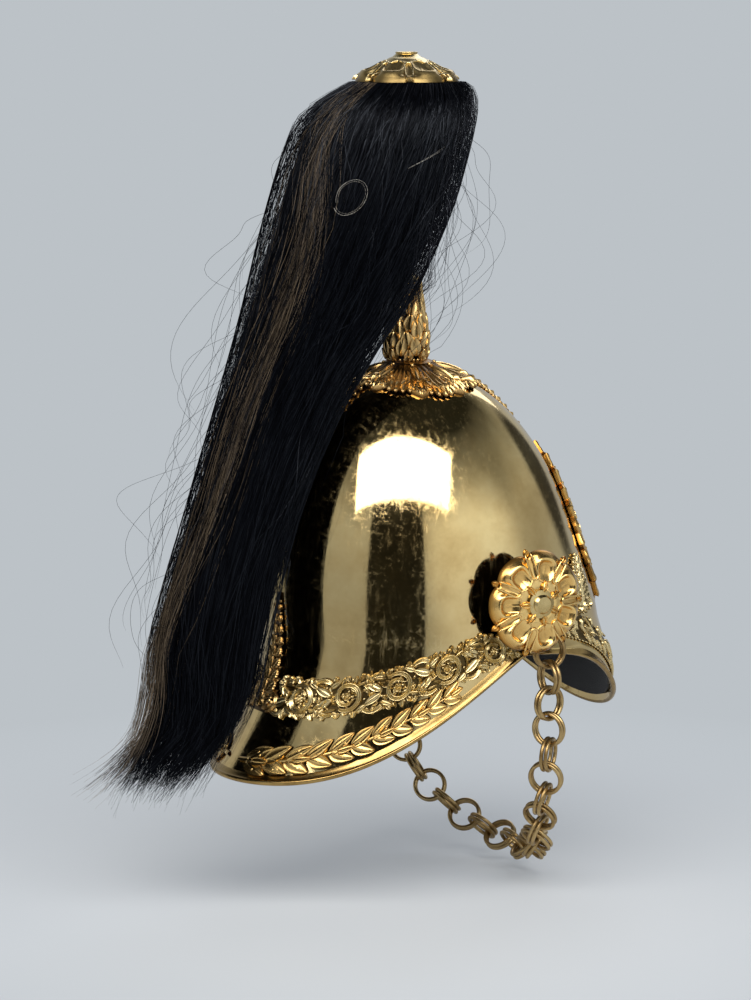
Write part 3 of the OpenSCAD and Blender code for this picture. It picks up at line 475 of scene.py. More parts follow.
def setter(items, lay, high, **always):
    """A function that adds one shape at (u, v) on the surface lay to items."""
    def put(shape, u, v, turn=0, size=1.0, lift=0.9, high=high, **more):
        k = {"u": u, "v": v, "turn": turn, "size": size, "lift": lift, "high": high, **always, **more}
        items.append((SHAPES[shape], lay, k))
    return put


# Stamped shapes, modelled flat: x along, y across and z up, in millimetres before they are sized
SUNK = -0.35  # how far an edge dips into the ground it is stamped from


def leaf_shape(u, v, length, width, rise, lobes=0, curl=0.0, rib=0.35):
    """Pointed leaf with a raised rim and midrib; lobes cut its edge and slant its veins."""
    a, b = u, v * 2 - 1
    e = np.abs(b)
    w = np.sin(np.pi * np.clip(a, 0, 1) ** 0.8) ** 0.75
    if lobes:
        w = w * (0.78 + 0.3 * np.abs(np.sin(np.pi * (a * lobes + 0.15))) ** 0.7)
    x = a * length + (e * width * 0.25 if lobes else 0) * np.sin(np.pi * a)
    ends = np.sin(np.pi * np.clip(a * 0.88 + 0.1, 0, 1)) ** 0.4
    rim = 0.42 * np.exp(-((e - 0.84) / 0.13) ** 2)
    h = rise * ends * (0.42 + rim + 0.22 * (1 - e) + rib * np.exp(-(b / 0.13) ** 2))
    if lobes:
        vein = a * lobes - e * 0.7
        h = h + rise * 0.2 * np.cos(TURN * vein) * np.clip(e * 1.6, 0, 1) * ends
    h = h + curl * (a ** 3 - 0.6 * np.clip((a - 0.86) / 0.14, 0, 1) ** 2)
    h = np.where((e > 0.999) | (a < 1e-4) | (a > 0.9999), SUNK, h)
    return np.stack([x, b * w * width / 2, h], -1)


def scroll_shape(u, v, r0, r1, sweep, width, rise, lines, taper, grow=1.0):
    """Reeded ribbon that unrolls from a tight end at r0 to an open end at r1."""
    b = v * 2 - 1
    ends = np.clip(np.sin(np.pi * (0.05 + 0.93 * u)), 0, 1) ** 0.3
    rr = r0 + (r1 - r0) * u ** grow + b * (width * (1 - taper * (1 - u)) * ends) / 2
    reed = 0.84 - 0.16 * np.cos(np.pi * lines * (b + 1))
    h = rise * reed * (1 - 0.3 * b * b) * np.clip(np.sin(np.pi * (0.04 + 0.93 * u)), 0, 1) ** 0.3
    h = np.where((np.abs(b) > 0.999) | (u < 1e-4) | (u > 0.9999), SUNK, h)
    return ring(np.radians(sweep) * u, rr, h)


def rose_shape(u, v, r, petals, rise):
    """Small rose: cupped petals round a raised seed."""
    ang = TURN * u
    lobe = np.abs(np.cos(petals * ang / 2))
    inner = np.abs(np.sin(petals * ang / 2))
    cup = np.sin(np.pi * np.clip((v - 0.4) / 0.6, 0, 1) ** 1.6)
    outer_h = rise * (0.3 + 0.7 * lobe ** 0.5 * cup)
    inner_h = rise * (0.45 + 0.45 * inner ** 0.5 * np.sin(np.pi * v / 0.42))
    h = np.where(v > 0.42, outer_h, inner_h) + rise * 0.7 * np.exp(-(v / 0.14) ** 2)
    return ring(ang, v * r * (0.8 + 0.2 * lobe ** 0.6), np.where(v > 0.999, SUNK, h))


def palm_shape(u, v, length, width, rise, flutes=5, roll=1.0):
    """Fluted acanthus leaf: ribs that fan out from its foot and roll over at a lobed tip."""
    a, b = u, v * 2 - 1
    e = np.abs(b)
    wave = np.cos(np.pi * flutes * b)
    end = np.clip((a - 0.8) / 0.2, 0, 1) ** 2
    w = width / 2 * (0.34 + 0.66 * np.sin(np.pi / 2 * np.clip(a * 1.15, 0, 1)) ** 1.3)
    x = length * a * (1 - 0.24 * e ** 2.4) + length * 0.05 * wave * a ** 2 * (e < 0.98)
    tip = np.sqrt(np.clip(1 - end, 0, 1))
    h = rise * (0.4 + 0.6 * a ** 0.9) * (1 - 0.5 * e ** 2) * (0.66 + 0.34 * wave) * (0.25 + 0.75 * tip)
    h = h + roll * np.exp(-((a - 0.84) / 0.1) ** 2) * (0.7 + 0.3 * wave) * (1 - e ** 3)
    h = np.where((e > 0.999) | (a < 1e-4) | (a > 0.9999), SUNK, h)
    return np.stack([x, b * w * (1 - 0.35 * end), h], -1)


# name: (faces along, faces across, form, its measures)
STAMPS = {
    "leaf": (14, 12, leaf_shape, (10, 4.6, 1.0)),
    "tip": (10, 10, leaf_shape, (6, 3.8, 1.0, 0, 0.5, 0.5)),
    "slim": (12, 8, leaf_shape, (10, 3.0, 1.2, 0, 0.5, 0.6)),
    "acanthus": (30, 16, leaf_shape, (10, 6.6, 1.3, 5, 1.0, 0.45)),
    "palm": (20, 30, palm_shape, (10, 6.4, 1.3)),
    "bud": (10, 14, palm_shape, (5, 4.2, 1.2, 3, 0.4)),
    "volute": (72, 24, scroll_shape, (3.7, 8.4, 470, 3.8, 1.9, 3, 0.25, 0.8)),
    "reeds": (22, 18, scroll_shape, (9.0, 9.0, 100, 4.6, 1.6, 3, 0.4)),
    "stalk": (18, 8, scroll_shape, (7.0, 9.0, 90, 1.9, 1.2, 1, 0.3)),
    "rose": (30, 10, rose_shape, (3.0, 5, 1.5)),
    "sepal": (16, 12, leaf_shape, (5.6, 4.2, 2.0, 0, -1.2, 0.8)),
    "seed": (16, 14, leaf_shape, (9.4, 5.8, 2.0, 0, -1.2, 0.7)),
}


def make_shapes():
    """Leaves, scrolls, roses and berries, each shaped once."""
    for name, (along, across, form, measures) in STAMPS.items():
        o = draped(along, across, lambda u, v: form(u, v, *measures), close=form is rose_shape)
        SHAPES[name] = take(o)
    pick()
    bpy.ops.mesh.primitive_uv_sphere_add(segments=10, ring_count=6, radius=1.0 * MM)
    SHAPES["berry"] = take(bpy.context.object)


# Pieces of the skull and its rim
def build_skull():
    """The dome and both peaks in one sheet, open under the plume's socket."""
    s0 = math.degrees(math.asin(CROWN_HOLE * 2 / SKULL_W)) / 90
    o = draped(168, 100, lambda u, v: skin(360 * u, s0 + (2 - s0) * v), close=True)
    apply(o, "SOLIDIFY", thickness=WALL * MM, offset=-1.0)
    dress(o, "skull_sheet", "skull", "helmet")
    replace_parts(o, "skull")


# the rim's moulding: how far below the sheet's edge and how far off the sheet each point lies
RIM_PROFILE = [(-6.2, 0.02), (-6.0, 0.3), (-5.7, 0.3), (-5.5, 0.12), (-5.2, 0.42), (-3.4, 0.62),
               (-1.6, 0.5), (-1.1, 0.95), (-0.3, 1.35), (0.7, 1.3), (1.6, 0.7), (1.95, -0.3),
               (1.6, -1.4), (0.7, -2.2), (-0.3, -2.5), (-1.1, -2.0), (-1.2, -1.4)]


def sweep_rim(name, start, end, n, finish):
    """Flat moulding with a fine line above it and a bead rolled over the edge, swept along the rim."""
    prof = np.array(RIM_PROFILE + RIM_PROFILE[:1])
    k = len(RIM_PROFILE)

    def place(u, v):
        t = start + (end - start) * u
        a = np.interp(v * k, np.arange(k + 1), prof[:, 0])
        b = np.interp(v * k, np.arange(k + 1), prof[:, 1])
        edge = np.full_like(t, 2.0)
        down = skin(t, edge) - skin(t, edge - 0.03)
        step = np.linalg.norm(down, axis=1)
        down /= step[:, None]
        s = 2 + np.minimum(a, 0) * 0.03 / step
        return skin(t, s) + down * np.maximum(a, 0)[:, None] + normal(t, s) * b[:, None]
    o = draped(n, k, place, close=True)
    on_all_faces(o, bpy.ops.mesh.normals_make_consistent, inside=False)
    apply(o, "SUBSURF", levels=1, render_levels=1)
    return dress(o, name, finish, "helmet")


def build_edges():
    """The bindings of the front and the rear peak, which meet at the ears."""
    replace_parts(sweep_rim("front_binding", -79, 79, 120, "edge"), "front_edge")
    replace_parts(sweep_rim("rear_binding", 79.5, 280.5, 150, "edge"), "rear_edge")


# Stamped foliage
# one scroll's leaves and flourishes on a side band: shape, along, down, turn, size, lift and height
FLOURISHES = [
    ("reeds", 18.0, 3.2, 40, 0.95, 0.8, 1.2),
    ("reeds", 13.5, -2.6, 230, 0.9, 0.8, 1.2),
    ("reeds", 25.0, -1.0, 150, 0.62, 0.9, 1.2),
    ("stalk", 8.0, -8.5, 60, 0.9, 1.0, 1.2),
    ("stalk", 27.5, 8.0, 240, 0.8, 1.0, 1.2),
    ("slim", 20.0, -8.0, 14, 0.9, 1.2, 1.3),
    ("slim", 16.0, -8.4, 172, 0.85, 1.2, 1.3),
    ("slim", 17.6, -6.6, 118, 0.7, 1.2, 1.3),
    ("leaf", 12.0, 6.4, 150, 0.85, 1.2, 1.3),
    ("leaf", 21.5, 6.8, 28, 0.85, 1.2, 1.3),
    ("leaf", 24.5, -2.5, -20, 0.85, 1.2, 1.3),
    ("leaf", 11.5, 1.6, 26, 1.3, 1.6, 1.4),
    ("leaf", 11.0, -0.4, -34, 1.25, 1.4, 1.4),
    ("rose", 18.0, -8.2, 0, 1.05, 1.6, 1.3),
]
SCROLL_PITCH = 34.0


def band_map(side):
    """Maps (u, v, h) along a side band, u in millimetres from its front end."""
    t = np.linspace(BAND_START, BAND_END, 120)
    full = np.clip(0.3 + 0.7 * (t - BAND_START) / BAND_TAPER, 0, 1)
    mid = -BAND_DROP * sind(90 * np.clip(to_back(t), 0, None)) - 8 * (1 - full)
    line = skin(t, s_at(t, mid))
    run = np.concatenate([[0], np.cumsum(np.linalg.norm(np.diff(line, axis=0), axis=1))])

    def lay(u, v, h):
        tt = np.interp(u, run, t)
        tt = tt + np.clip(u - run[-1], 0, None) * 0.5 - np.clip(-u, 0, None) * 0.5
        zz = np.interp(tt, t, mid) - v
        return skin(tt, s_at(tt, zz), h) * [side, 1, 1]
    return lay, run[-1]


def width_at(u):
    """How full a side band is at u, from its narrow front end."""
    return np.clip(0.3 + 0.7 * u / 27.0, 0, 1)


def band_ground(u, v, length):
    """The stamped ground, ragged along both edges."""
    ragged = 0.82 + 0.06 * np.sin(u * 61) + 0.05 * np.sin(u * 143 + v * 3)
    across = (v * 2 - 1) * BAND_W / 2 * width_at(u * length) * ragged
    return np.stack([u * length, across, np.where(np.abs(v * 2 - 1) > 0.98, 0.1, 0.5)], -1)


def scroll_parts(first):
    """Everything round one scroll; the first place has no scroll of its own."""
    parts = list(FLOURISHES)
    if not first:
        parts += [("volute", 0, 0.4, 205, 1.12, 1.0, 1.35), ("rose", 0, 0.4, 0, 1.0, 1.9, 1.3)]
        for a in (30, 110, 190, 260):
            x, y = math.cos(math.radians(a)), math.sin(math.radians(a))
            parts.append(("berry", 3.3 * x, 0.4 + 3.3 * y, 0, 0.8, 2.0, 0.8))
    loose = [(11.0, 3.4, 0.9), (26.0, 1.8, 0.9), (20.0, -3.6, 0.9), (15.0, -5.0, 0.8), (22.5, 3.0, 0.8)]
    parts += [("berry", u, v, 0, r, 1.9, r) for u, v, r in loose]
    return parts


def side_band(name, side, scatter):
    """One band from the ear to the back: filled ground, ragged edges, then scrolls that turn up and down."""
    lay, length = band_map(side)
    items = []
    put = setter(items, lay, 1.2)
    ground = take(draped(160, 14, lambda u, v: band_ground(u, v, length)))
    items.append((ground, lay, {"lift": 0.3, "shine": 0.05}))
    for a, b, c, d in scatter:
        u = 3 + a * (length - 4)
        shape = "slim" if c < 0.5 else "tip"
        put(shape, u, (b * 2 - 1) * 8.6 * float(width_at(u)), d * 360, 0.55 + 0.25 * c, 0.5, 1.3)
    for m in (-1, 1):
        for j in range(int(length / 3.4)):
            u = 4 + j * 3.4
            full = float(width_at(u))
            uneven = math.sin(j * 2.1 + m) * 0.9
            turn = m * 90 + 34 * math.sin(j * 1.7)
            put("bud" if j % 3 else "tip", u, m * full * (8.6 + uneven), turn, 0.86, 0.6, 1.4)
            size = 0.8 + 0.2 * math.sin(j * 3.1)
            put("berry", u + 1.7, m * full * (10.9 + uneven * 0.7), 0, size, 0.7, 0.9)
    for i in range(-1, 6):
        middle = 19.0 + i * SCROLL_PITCH
        up = -1 if i % 2 else 1
        if middle > length + 8:
            continue
        for shape, along, down, turn, size, lift, high in scroll_parts(i < 0):
            u = middle + along
            if 3 < u < length + 1:
                full = float(width_at(u))
                size = size * (0.45 + 0.55 * full)
                put(shape, u, up * down * full, turn * up, size, lift, high, flip=up < 0)
    front_end = [(13, 0, 182, 1.0), (12, 2.2, 158, 0.8), (12, -2.2, 204, 0.8), (7, 0.6, 176, 0.6)]
    for u, v, turn, size in front_end:
        put("leaf", u, v, turn, size, 1.2, 1.3)
    stamp("side_band_relief_" + name, items, "pale", "helmet", "gilt_brass", "side_band_" + name)


def build_side_bands():
    """Both side bands, with the same scattered leaves mirrored."""
    scatter = np.random.default_rng(3).uniform(0, 1, (260, 4))
    side_band("right", 1, scatter)
    side_band("left", -1, scatter)


def build_front_band():
    """Foliage that fans over the front peak: scrolls and roses above a row of leaves with a beaded foot."""
    to_degree = 2.05
    span = FRONT_SPAN * to_degree

    def lay(u, v, h):
        t = u / to_degree
        return skin(t, s_at(t, rim_z(t) + FRONT_LOW + v), h)

    def ground(u, v):
        ragged = 0.86 + 0.05 * np.sin(u * 150) + 0.03 * np.sin(u * 371)
        edged = np.where((v < 0.01) | (v > 0.99), 0.1, 0.9)
        return np.stack([-span + 2 * span * u, FRONT_TALL * v * ragged, edged], -1)
    items = [(take(draped(180, 12, ground)), lay, {"lift": 0.3, "shine": 0.1})]
    put = setter(items, lay, 1.1)
    scrolls = 9
    for i in range(scrolls):
        c = -span + 2 * span / scrolls * (i + 0.5)
        flip = c > 0
        m = -1 if flip else 1
        put("volute", c, 13.5, -20 if flip else 200, 0.86, 0.8, 1.2, flip=flip)
        put("rose", c, 13.5, 0, 0.9, 1.3, 1.1)
        for u, v, turn, size in ((-11.5, 8, 62, 1.0), (-13.0, 16, 100, 0.85), (-15.5, 7, 118, 1.0),
                                 (-8.5, 19.5, 78, 0.62), (9.0, 20, 100, 0.6)):
            put("leaf", c + m * u, v, turn, size, 1.0, 1.2)
        for u, turn in ((-12, 95), (-6, 82), (0, 90), (6, 98)):
            put("acanthus", c + u, 0.8, turn, 0.72, 0.9, 1.0)
        for u, v in ((-14, 21.5), (-4.5, 23.2), (4.5, 23.2), (0, 24.2), (-10, 14), (-14, 12.5), (11, 23)):
            put("berry", c + u, v, 0, 0.85, 1.3, 0.85)
        for u in range(-14, 15, 3):
            put("berry", c + u, 0.5, 0, 0.8, 0.9, 0.8)
    stamp("front_band_relief", items, "pale", "helmet", "gilt_brass", "front_band")


def build_rear_ornament():
    """Acanthus in tiers that taper up the back, from a pair of scrolls above the band."""
    foot = -BAND_DROP - BAND_W / 2

    def lay(u, v, h):
        return skin(180 + u / 1.68, s_at(180, foot + v), h)

    def ground(u, v):
        wide = (u * 2 - 1) * REAR_ORN_W / 2 * (1 - v * 0.93) ** 0.8 * (0.85 + 0.06 * np.sin(v * 60))
        return np.stack([wide, v * REAR_ORN_H, np.where(np.abs(u * 2 - 1) > 0.98, 0.1, 0.8)], -1)
    items = [(take(draped(10, 60, ground)), lay, {"lift": 0.6, "shine": 0.1})]
    put = setter(items, lay, 1.2)
    put("volute", -7.5, 7.5, 160, 0.8, 1.2)
    put("volute", 7.5, 7.5, 20, 0.8, 1.2, flip=True)
    for i in range(9):
        v = 3 + i * 8.0
        k = 1 - i * 0.085
        for m in (-1, 1):
            put("acanthus", m * 1.5, v, 90 - m * 34, 1.25 * k, 1.1)
            put("leaf", m * 3.0 * k, v - 1, 90 - m * 62, 1.15 * k, 0.9)
            put("berry", m * 7.4 * k, v + 5.5, 0, 0.95, 1.3, 0.95)
            put("berry", m * 10.8 * k, v + 2.0, 0, 0.85, 1.2, 0.85)
        put("slim", 0, v, 90, 1.15 * k, 1.9)
        put("berry", 0, v + 1.0, 0, 1.1 * k + 0.3, 2.2, 1.1 * k + 0.3)
    stamp("rear_ornament_relief", items, "bronze", "helmet", "gilt_brass", "rear_ornament")


def laurel(name, side):
    """One spray on the rear peak: leaf pairs and berries along a rounded stem."""
    items = []
    stations, step = 11, 6.0
    for i in range(stations):
        near = patch(174 - i * step, 1.87 - 0.012 * i)
        put = setter(items, lambda u, v, h, near=near: near(u, v, h) * [side, 1, 1], 1.7)
        g = 1 - 0.03 * i
        for turn, size, lift in ((180 + 31, 2.2, 1.2), (180 - 25, 2.15, 1.0)):
            put("leaf", 0, 0, turn + 3 * math.sin(i * 2.3), size * g, lift + 0.4 * (i % 2), wide=1.18)
        if i % 2 == 0:
            put("leaf", -5, 0, 184, 1.5 * g, 2.0)
        for u, v in ((-8.5, -7.0), (-10.6, -4.9), (-9.4, 5.6)):
            put("berry", u, v * g, 0, 1.25 * g, 1.5, 1.25 * g)

    def stem(u, v):
        t = 177 - u * (stations * step + 2)
        b = v * 2 - 1
        bulge = np.where(np.abs(b) > 0.99, 0.1, 1.3 * np.sqrt(np.clip(1 - b * b, 0, 1)) + 0.5)
        return np.stack([t, 1.87 - 0.012 * (174 - t) / step + b * 0.014, bulge], -1)
    items.append((take(draped(70, 6, stem)), lambda u, v, h: skin(u, v, h) * [side, 1, 1], {"lift": 0.3}))
    stamp("laurel_spray_" + name, items, "laurel", "helmet", "bronzed_brass", "laurel_" + name)


def build_laurel():
    """The laurel sprays, tied at the middle of the rear peak."""
    laurel("right", 1)
    laurel("left", -1)


def front_spray(name, side):
    """An upright spray of leaf tiers over a pair of small scrolls."""
    base = float(rim_z(SPRAY_T)) + FRONT_LOW + FRONT_TALL

    def lay(u, v, h):
        t = SPRAY_T - 0.12 * v + u / 1.55
        return skin(t, s_at(t, base + v), h) * [side, 1, 1]
    items = []
    put = setter(items, lay, 1.4)
    put("volute", -6.0, 3.0, 20, 0.62, flip=True)
    put("volute", 6.0, 3.0, 160, 0.62)
    for i in range(6):
        z = 3 + i * 5.4
        k = 1 - 0.09 * i
        for turn, size, u in ((165, 0.95, -3.0), (15, 0.95, 3.0), (135, 1.1, -1.2), (45, 1.1, 1.2),
                              (90, 1.0, 0)):
            lobed = i < 3 and abs(u) == 1.2
            put("acanthus" if lobed else "leaf", u, z, turn, size * k, 0.9 + 0.5 * (u == 0))
        for u, v in ((8.6, 2.2), (5.2, 4.8), (10.2, -0.8), (2.4, 1.4), (6.8, -0.6)):
            put("berry", -u * k, z + v, 0, 1.2, 1.7, 1.2)
            put("berry", u * k, z + v, 0, 1.2, 1.7, 1.2)
    put("berry", 0, 36.5, 0, 1.4, 1.4, 1.4)
    stamp("front_spray_relief_" + name, items, "pale", "helmet", "gilt_brass", "front_spray_" + name)


def build_front_sprays():
    """The upright sprays on both sides of the plate."""
    front_spray("right", 1)
    front_spray("left", -1)


def plate_reach(a):
    """How far the plate's oval reaches at angle a."""
    return ((cosd(a) * 2 / PLATE_H) ** 2 + (sind(a) * 2 / PLATE_W) ** 2) ** -0.5


def build_front_plate():
    """Star of bright-cut rays with a beaded ring and a plain oval shield, its edge clear of the skull."""
    lay = patch(0, float(s_at(0, PLATE_Z)))
    points, beads = 24, 44

    def star(u, v):
        a = 360 * u
        tri = np.abs(2 * ((a / 360 * points) % 1) - 1)
        q = np.clip(v / 0.92, 0, 1)
        under = np.clip((v - 0.92) / 0.08, 0, 1)
        r = plate_reach(a) * (0.91 + 0.09 * tri) * (0.02 + 0.98 * q) * (1 - 0.02 * under)
        rays = 0.5 + 0.5 * np.cos(np.radians(a) * points * 3)
        h = 3.4 + 1.6 * (1 - q) + (1.5 * tri ** 2 + 0.6 * rays) * (q > 0.3) * (1 - 0.75 * q ** 6)
        h = h + 1.1 * np.exp(-((q - 0.95) / 0.05) ** 2) * (1 - under) - 2.6 * under
        return dial(a, r, r, h)
    items = [(take(draped(240, 28, star, close=True)), lay, {"shine": 0.8, "dim": 0.1})]
    put = setter(items, lay, 1.1)
    for i in range(beads):
        a = i * 360 / beads
        put("berry", PLATE_W * 0.245 * sind(a), -PLATE_H * 0.245 * cosd(a), 0, 1.3, 6.6, 1.3)
    for i in range(points):
        a = (i + 0.5) * 360 / points
        reach = plate_reach(a)
        put("acanthus", reach * 0.52 * sind(a), -reach * 0.52 * cosd(a), a - 90, 1.1, 4.4)
        put("berry", reach * 0.86 * sind(a), -reach * 0.86 * cosd(a), 0, 1.5, 4.0, 1.5)
    stamp("star_plate", items, "gilt", "helmet", "gilt_brass", "front_plate")

    def shield(u, v):
        q = np.clip(v * 1.02, 0, 1)
        h = np.interp(v, [0, 0.55, 0.7, 0.76, 0.86, 0.93, 1.0], [9.3, 8.6, 7.9, 8.8, 8.8, 7.4, 5.3])
        return dial(360 * u, PLATE_W * 0.19 * q, PLATE_H * 0.19 * q, h)
    o = take(draped(96, 24, shield, close=True))
    stamp("oval_shield", [(o, lay, {})], "gilt", "helmet", "polished_brass", "plate_boss")


# Crown and socket
def crown_lay(u, v, h):
    """Maps (x, y, h) about the plume's axis onto the dome."""
    t = np.degrees(np.arctan2(-u, -v))
    px, py = skull_plan(t)
    reach = np.hypot(px, py + SKULL_MID)
    g = np.clip(np.hypot(u, v) / reach, 0, 0.999)
    return skin(t, np.degrees(np.arcsin(g)) / 90, h)


def build_crown():
    """Acanthus over the crown: two tiers of leaves and shells round a collar, with tongues fore and aft."""
    def collar(u, v):
        a = 360 * u
        at = [0, 0.2, 0.38, 0.5, 0.62, 0.75, 1.0]
        r = np.interp(v, at, [8.0, 12.5, 15.6, 14.8, 16.2, 18.0, 34.0])
        milled = 0.3 * np.cos(np.radians(a) * 28) * (v > 0.55) * (v < 0.8)
        return dial(a, r, r, np.interp(v, at, [5.8, 5.8, 5.0, 4.2, 4.0, 3.4, 1.0]) + milled)
    items = [(take(draped(224, 18, collar, close=True)), crown_lay, {"shine": 0.2})]
    put = setter(items, crown_lay, 1.0)

    def radial(shape, a, r, size, lift, high, wide=1.0, side=0.0, turn=0.0):
        u, v = -r * sind(a) + side * cosd(a), -r * cosd(a) - side * sind(a)
        put(shape, u, v, 270 - a + turn, size, lift, high, wide=wide)
    n = 8
    for i in range(n):
        a = 360 * i / n
        between = a + 180 / n
        radial("acanthus", between, 18, 2.5, 0.6, 2.2)
        for m in (-1, 1):
            radial("acanthus", a + m * 12, 20, 2.2, 0.6, 2.0, 0.8, 0, -m * 12)
        radial("palm", a, 13.5, 2.85, 1.6, 2.0, 1.02)
        for m in (-1, 1):
            radial("palm", a + m * 15, 15, 2.3, 1.2, 1.8, 0.72, 0, -m * 22)
        # lobes that curl up along each shell's lip
        for j in range(-3, 4):
            radial("tip", a + j * 4.9, 36.0 - 0.42 * j * j, 1.25, 2.6 - 0.18 * j * j, 1.5, 1.25, 0, -j * 9)
        radial("slim", between, 15.5, 2.0, 2.6, 1.9)
        radial("berry", between, 16.5, 1.4, 4.4, 1.4)
        radial("berry", between, 38.5, 1.7, 1.9, 1.7)
    # longer tongues of overlapping lobes to the front and back
    for a, start, end in ((0, 40, 84), (180, 38, 60)):
        for j, r in enumerate(np.arange(end, start, -5.0)):
            k = 0.72 + 0.045 * j
            for m in (-1, 1):
                radial("leaf", a, float(r) - 8, 1.25 * k, 1.6, 2.6, 1.2, m * 2.2, -m * 44)
                radial("berry", a, float(r) - 2, 1.7 * k, 1.6, 1.7 * k, 1.0, m * 7.4 * k)
            radial("palm", a, float(r) - 11, 1.25 * k, 2.6, 1.7, 0.9)
    stamp("crown_acanthus", items, "bronze", "helmet", "bronzed_brass", "crown_plate")


SOCKET_TURN = 4.6  # degrees round the socket to the millimetre


def socket_lay(radius):
    """Maps (u, v, h) round the socket, v up from its foot."""
    heights = [0, 3, 8, 16, 24, 32, 40, 47, 54, 60]
    radii = [11.5, 12.4, 13.2, 13.6, 13.0, 11.6, 10.2, 9.3, 8.9, 9.0]

    def lay(u, v, h):
        r = np.interp(v, heights, radii) + radius + h
        return dial(u * SOCKET_TURN, -r, r, CROWN_Z + 0.6 + v)
    return lay


def build_socket():
    """Small pointed leaves that overlap like scales, the upper ones long and close to the neck."""
    turn = 360 / SOCKET_TURN
    core = take(draped(96, 40, lambda u, v: np.stack([u * turn, v * 53, 0.2 * np.cos(u * np.pi * 32)], -1)))
    items = [(core, socket_lay(-1.6), {"shine": 0.05})]
    put = setter(items, socket_lay(0), 1.0)
    n, beads = 8, 26
    tiers = [(36, 1.75, -1.0), (30, 1.7, -0.7), (24, 1.6, -0.4), (18.5, 1.5, -0.1), (13, 1.45, 0.2),
             (7.5, 1.4, 0.5), (2.5, 1.3, 0.8), (-1.0, 1.0, 1.2)]
    for tier, (v, size, lift) in enumerate(tiers):
        odd = tier % 2
        shape = "slim" if tier < 2 else "tip" if odd else "leaf"
        size = size * (1.55 if odd and tier > 1 else 1.15)
        for i in range(n):
            lean = 90 + 9 * math.sin(i * 2.7 + tier)
            put(shape, (i + 0.5 * odd) * turn / n, v, lean, size, lift, 2.0, wide=1.1)
    for i in range(beads):
        put("berry", i * turn / beads, 0.2, 90, 1.1, 1.4)
        put("berry", i * turn / beads, 51.8, 90, 0.8, 0.2, 0.8)
    stamp("socket_foliage", items, "bronze", "helmet", "bronzed_brass", "socket_leaves")


# Roses
PETALS = 7
# how high the cone under a rose's petals stands, from its middle out to its rim
EAR_CONE = ([0, 0.15, 0.3, 0.45, 0.6, 0.8, 0.92, 1], [8.6, 8.6, 8.4, 7.6, 6.2, 4.6, 3.8, 2.6])
TOP_CONE = ([0, 0.2, 0.28, 0.4, 0.55, 0.7, 0.82, 0.92, 1], [18.6, 18.4, 16.8, 14.0, 10.6, 7.2, 4.6, 4.2, 2.0])


def petal_field(u, v, rise, cone):
    """Seven cupped petals on a cone, whose lips roll over all round."""
    e = np.abs(((u * PETALS) % 1.0) - 0.5) * 2
    q = np.clip((v - 0.46) / 0.4, 0, 3)
    n = ((e / 0.71) ** 3 + q ** 3) ** (1 / 3)
    on = smooth(v, 0.4, 0.6)
    rim = np.exp(-((n - 1) / 0.17) ** 2) * on * (1 - 0.6 * smooth(e, 0.5, 0.78))
    bowl = np.clip(1 - n, 0, 1) ** 0.8 * on
    vein = np.exp(-(e / 0.07) ** 2) * smooth(v, 0.3, 0.45) * (1 - smooth(v, 0.6, 0.8))
    valley = smooth(e, 0.74, 1.0) * smooth(v, 0.42, 0.6)
    well = np.exp(-((v - 0.27) / 0.05) ** 2)
    h = np.interp(v, *cone) + rise * (rim - 0.75 * bowl + 0.06 * vein - 0.12 * valley - 0.2 * well)
    h = h * np.sqrt(np.clip(1 - np.clip((v - 0.92) / 0.08, 0, 1) ** 2, 0, 1))
    return ring(TURN * u, ROSE_R * v * (1 - 0.1 * e ** 2.5 * v ** 5), h)


def sepal_loop(u):
    """A sepal's wire from above: in from the rim, round its end and back."""
    run, r0, half = 14.0, ROSE_R * 0.96, 2.7
    arc = math.pi * half
    d = u * (2 * run + arc)
    th = np.clip((d - run) / half, 0, math.pi)
    end = r0 - run - half * np.sin(th)
    x = np.where(d < run, r0 - d, np.where(d > run + arc, r0 - run + (d - run - arc), end))
    return x, -half * np.cos(th) * (0.8 + 0.2 * np.clip((r0 - x) / 10, 0, 1))


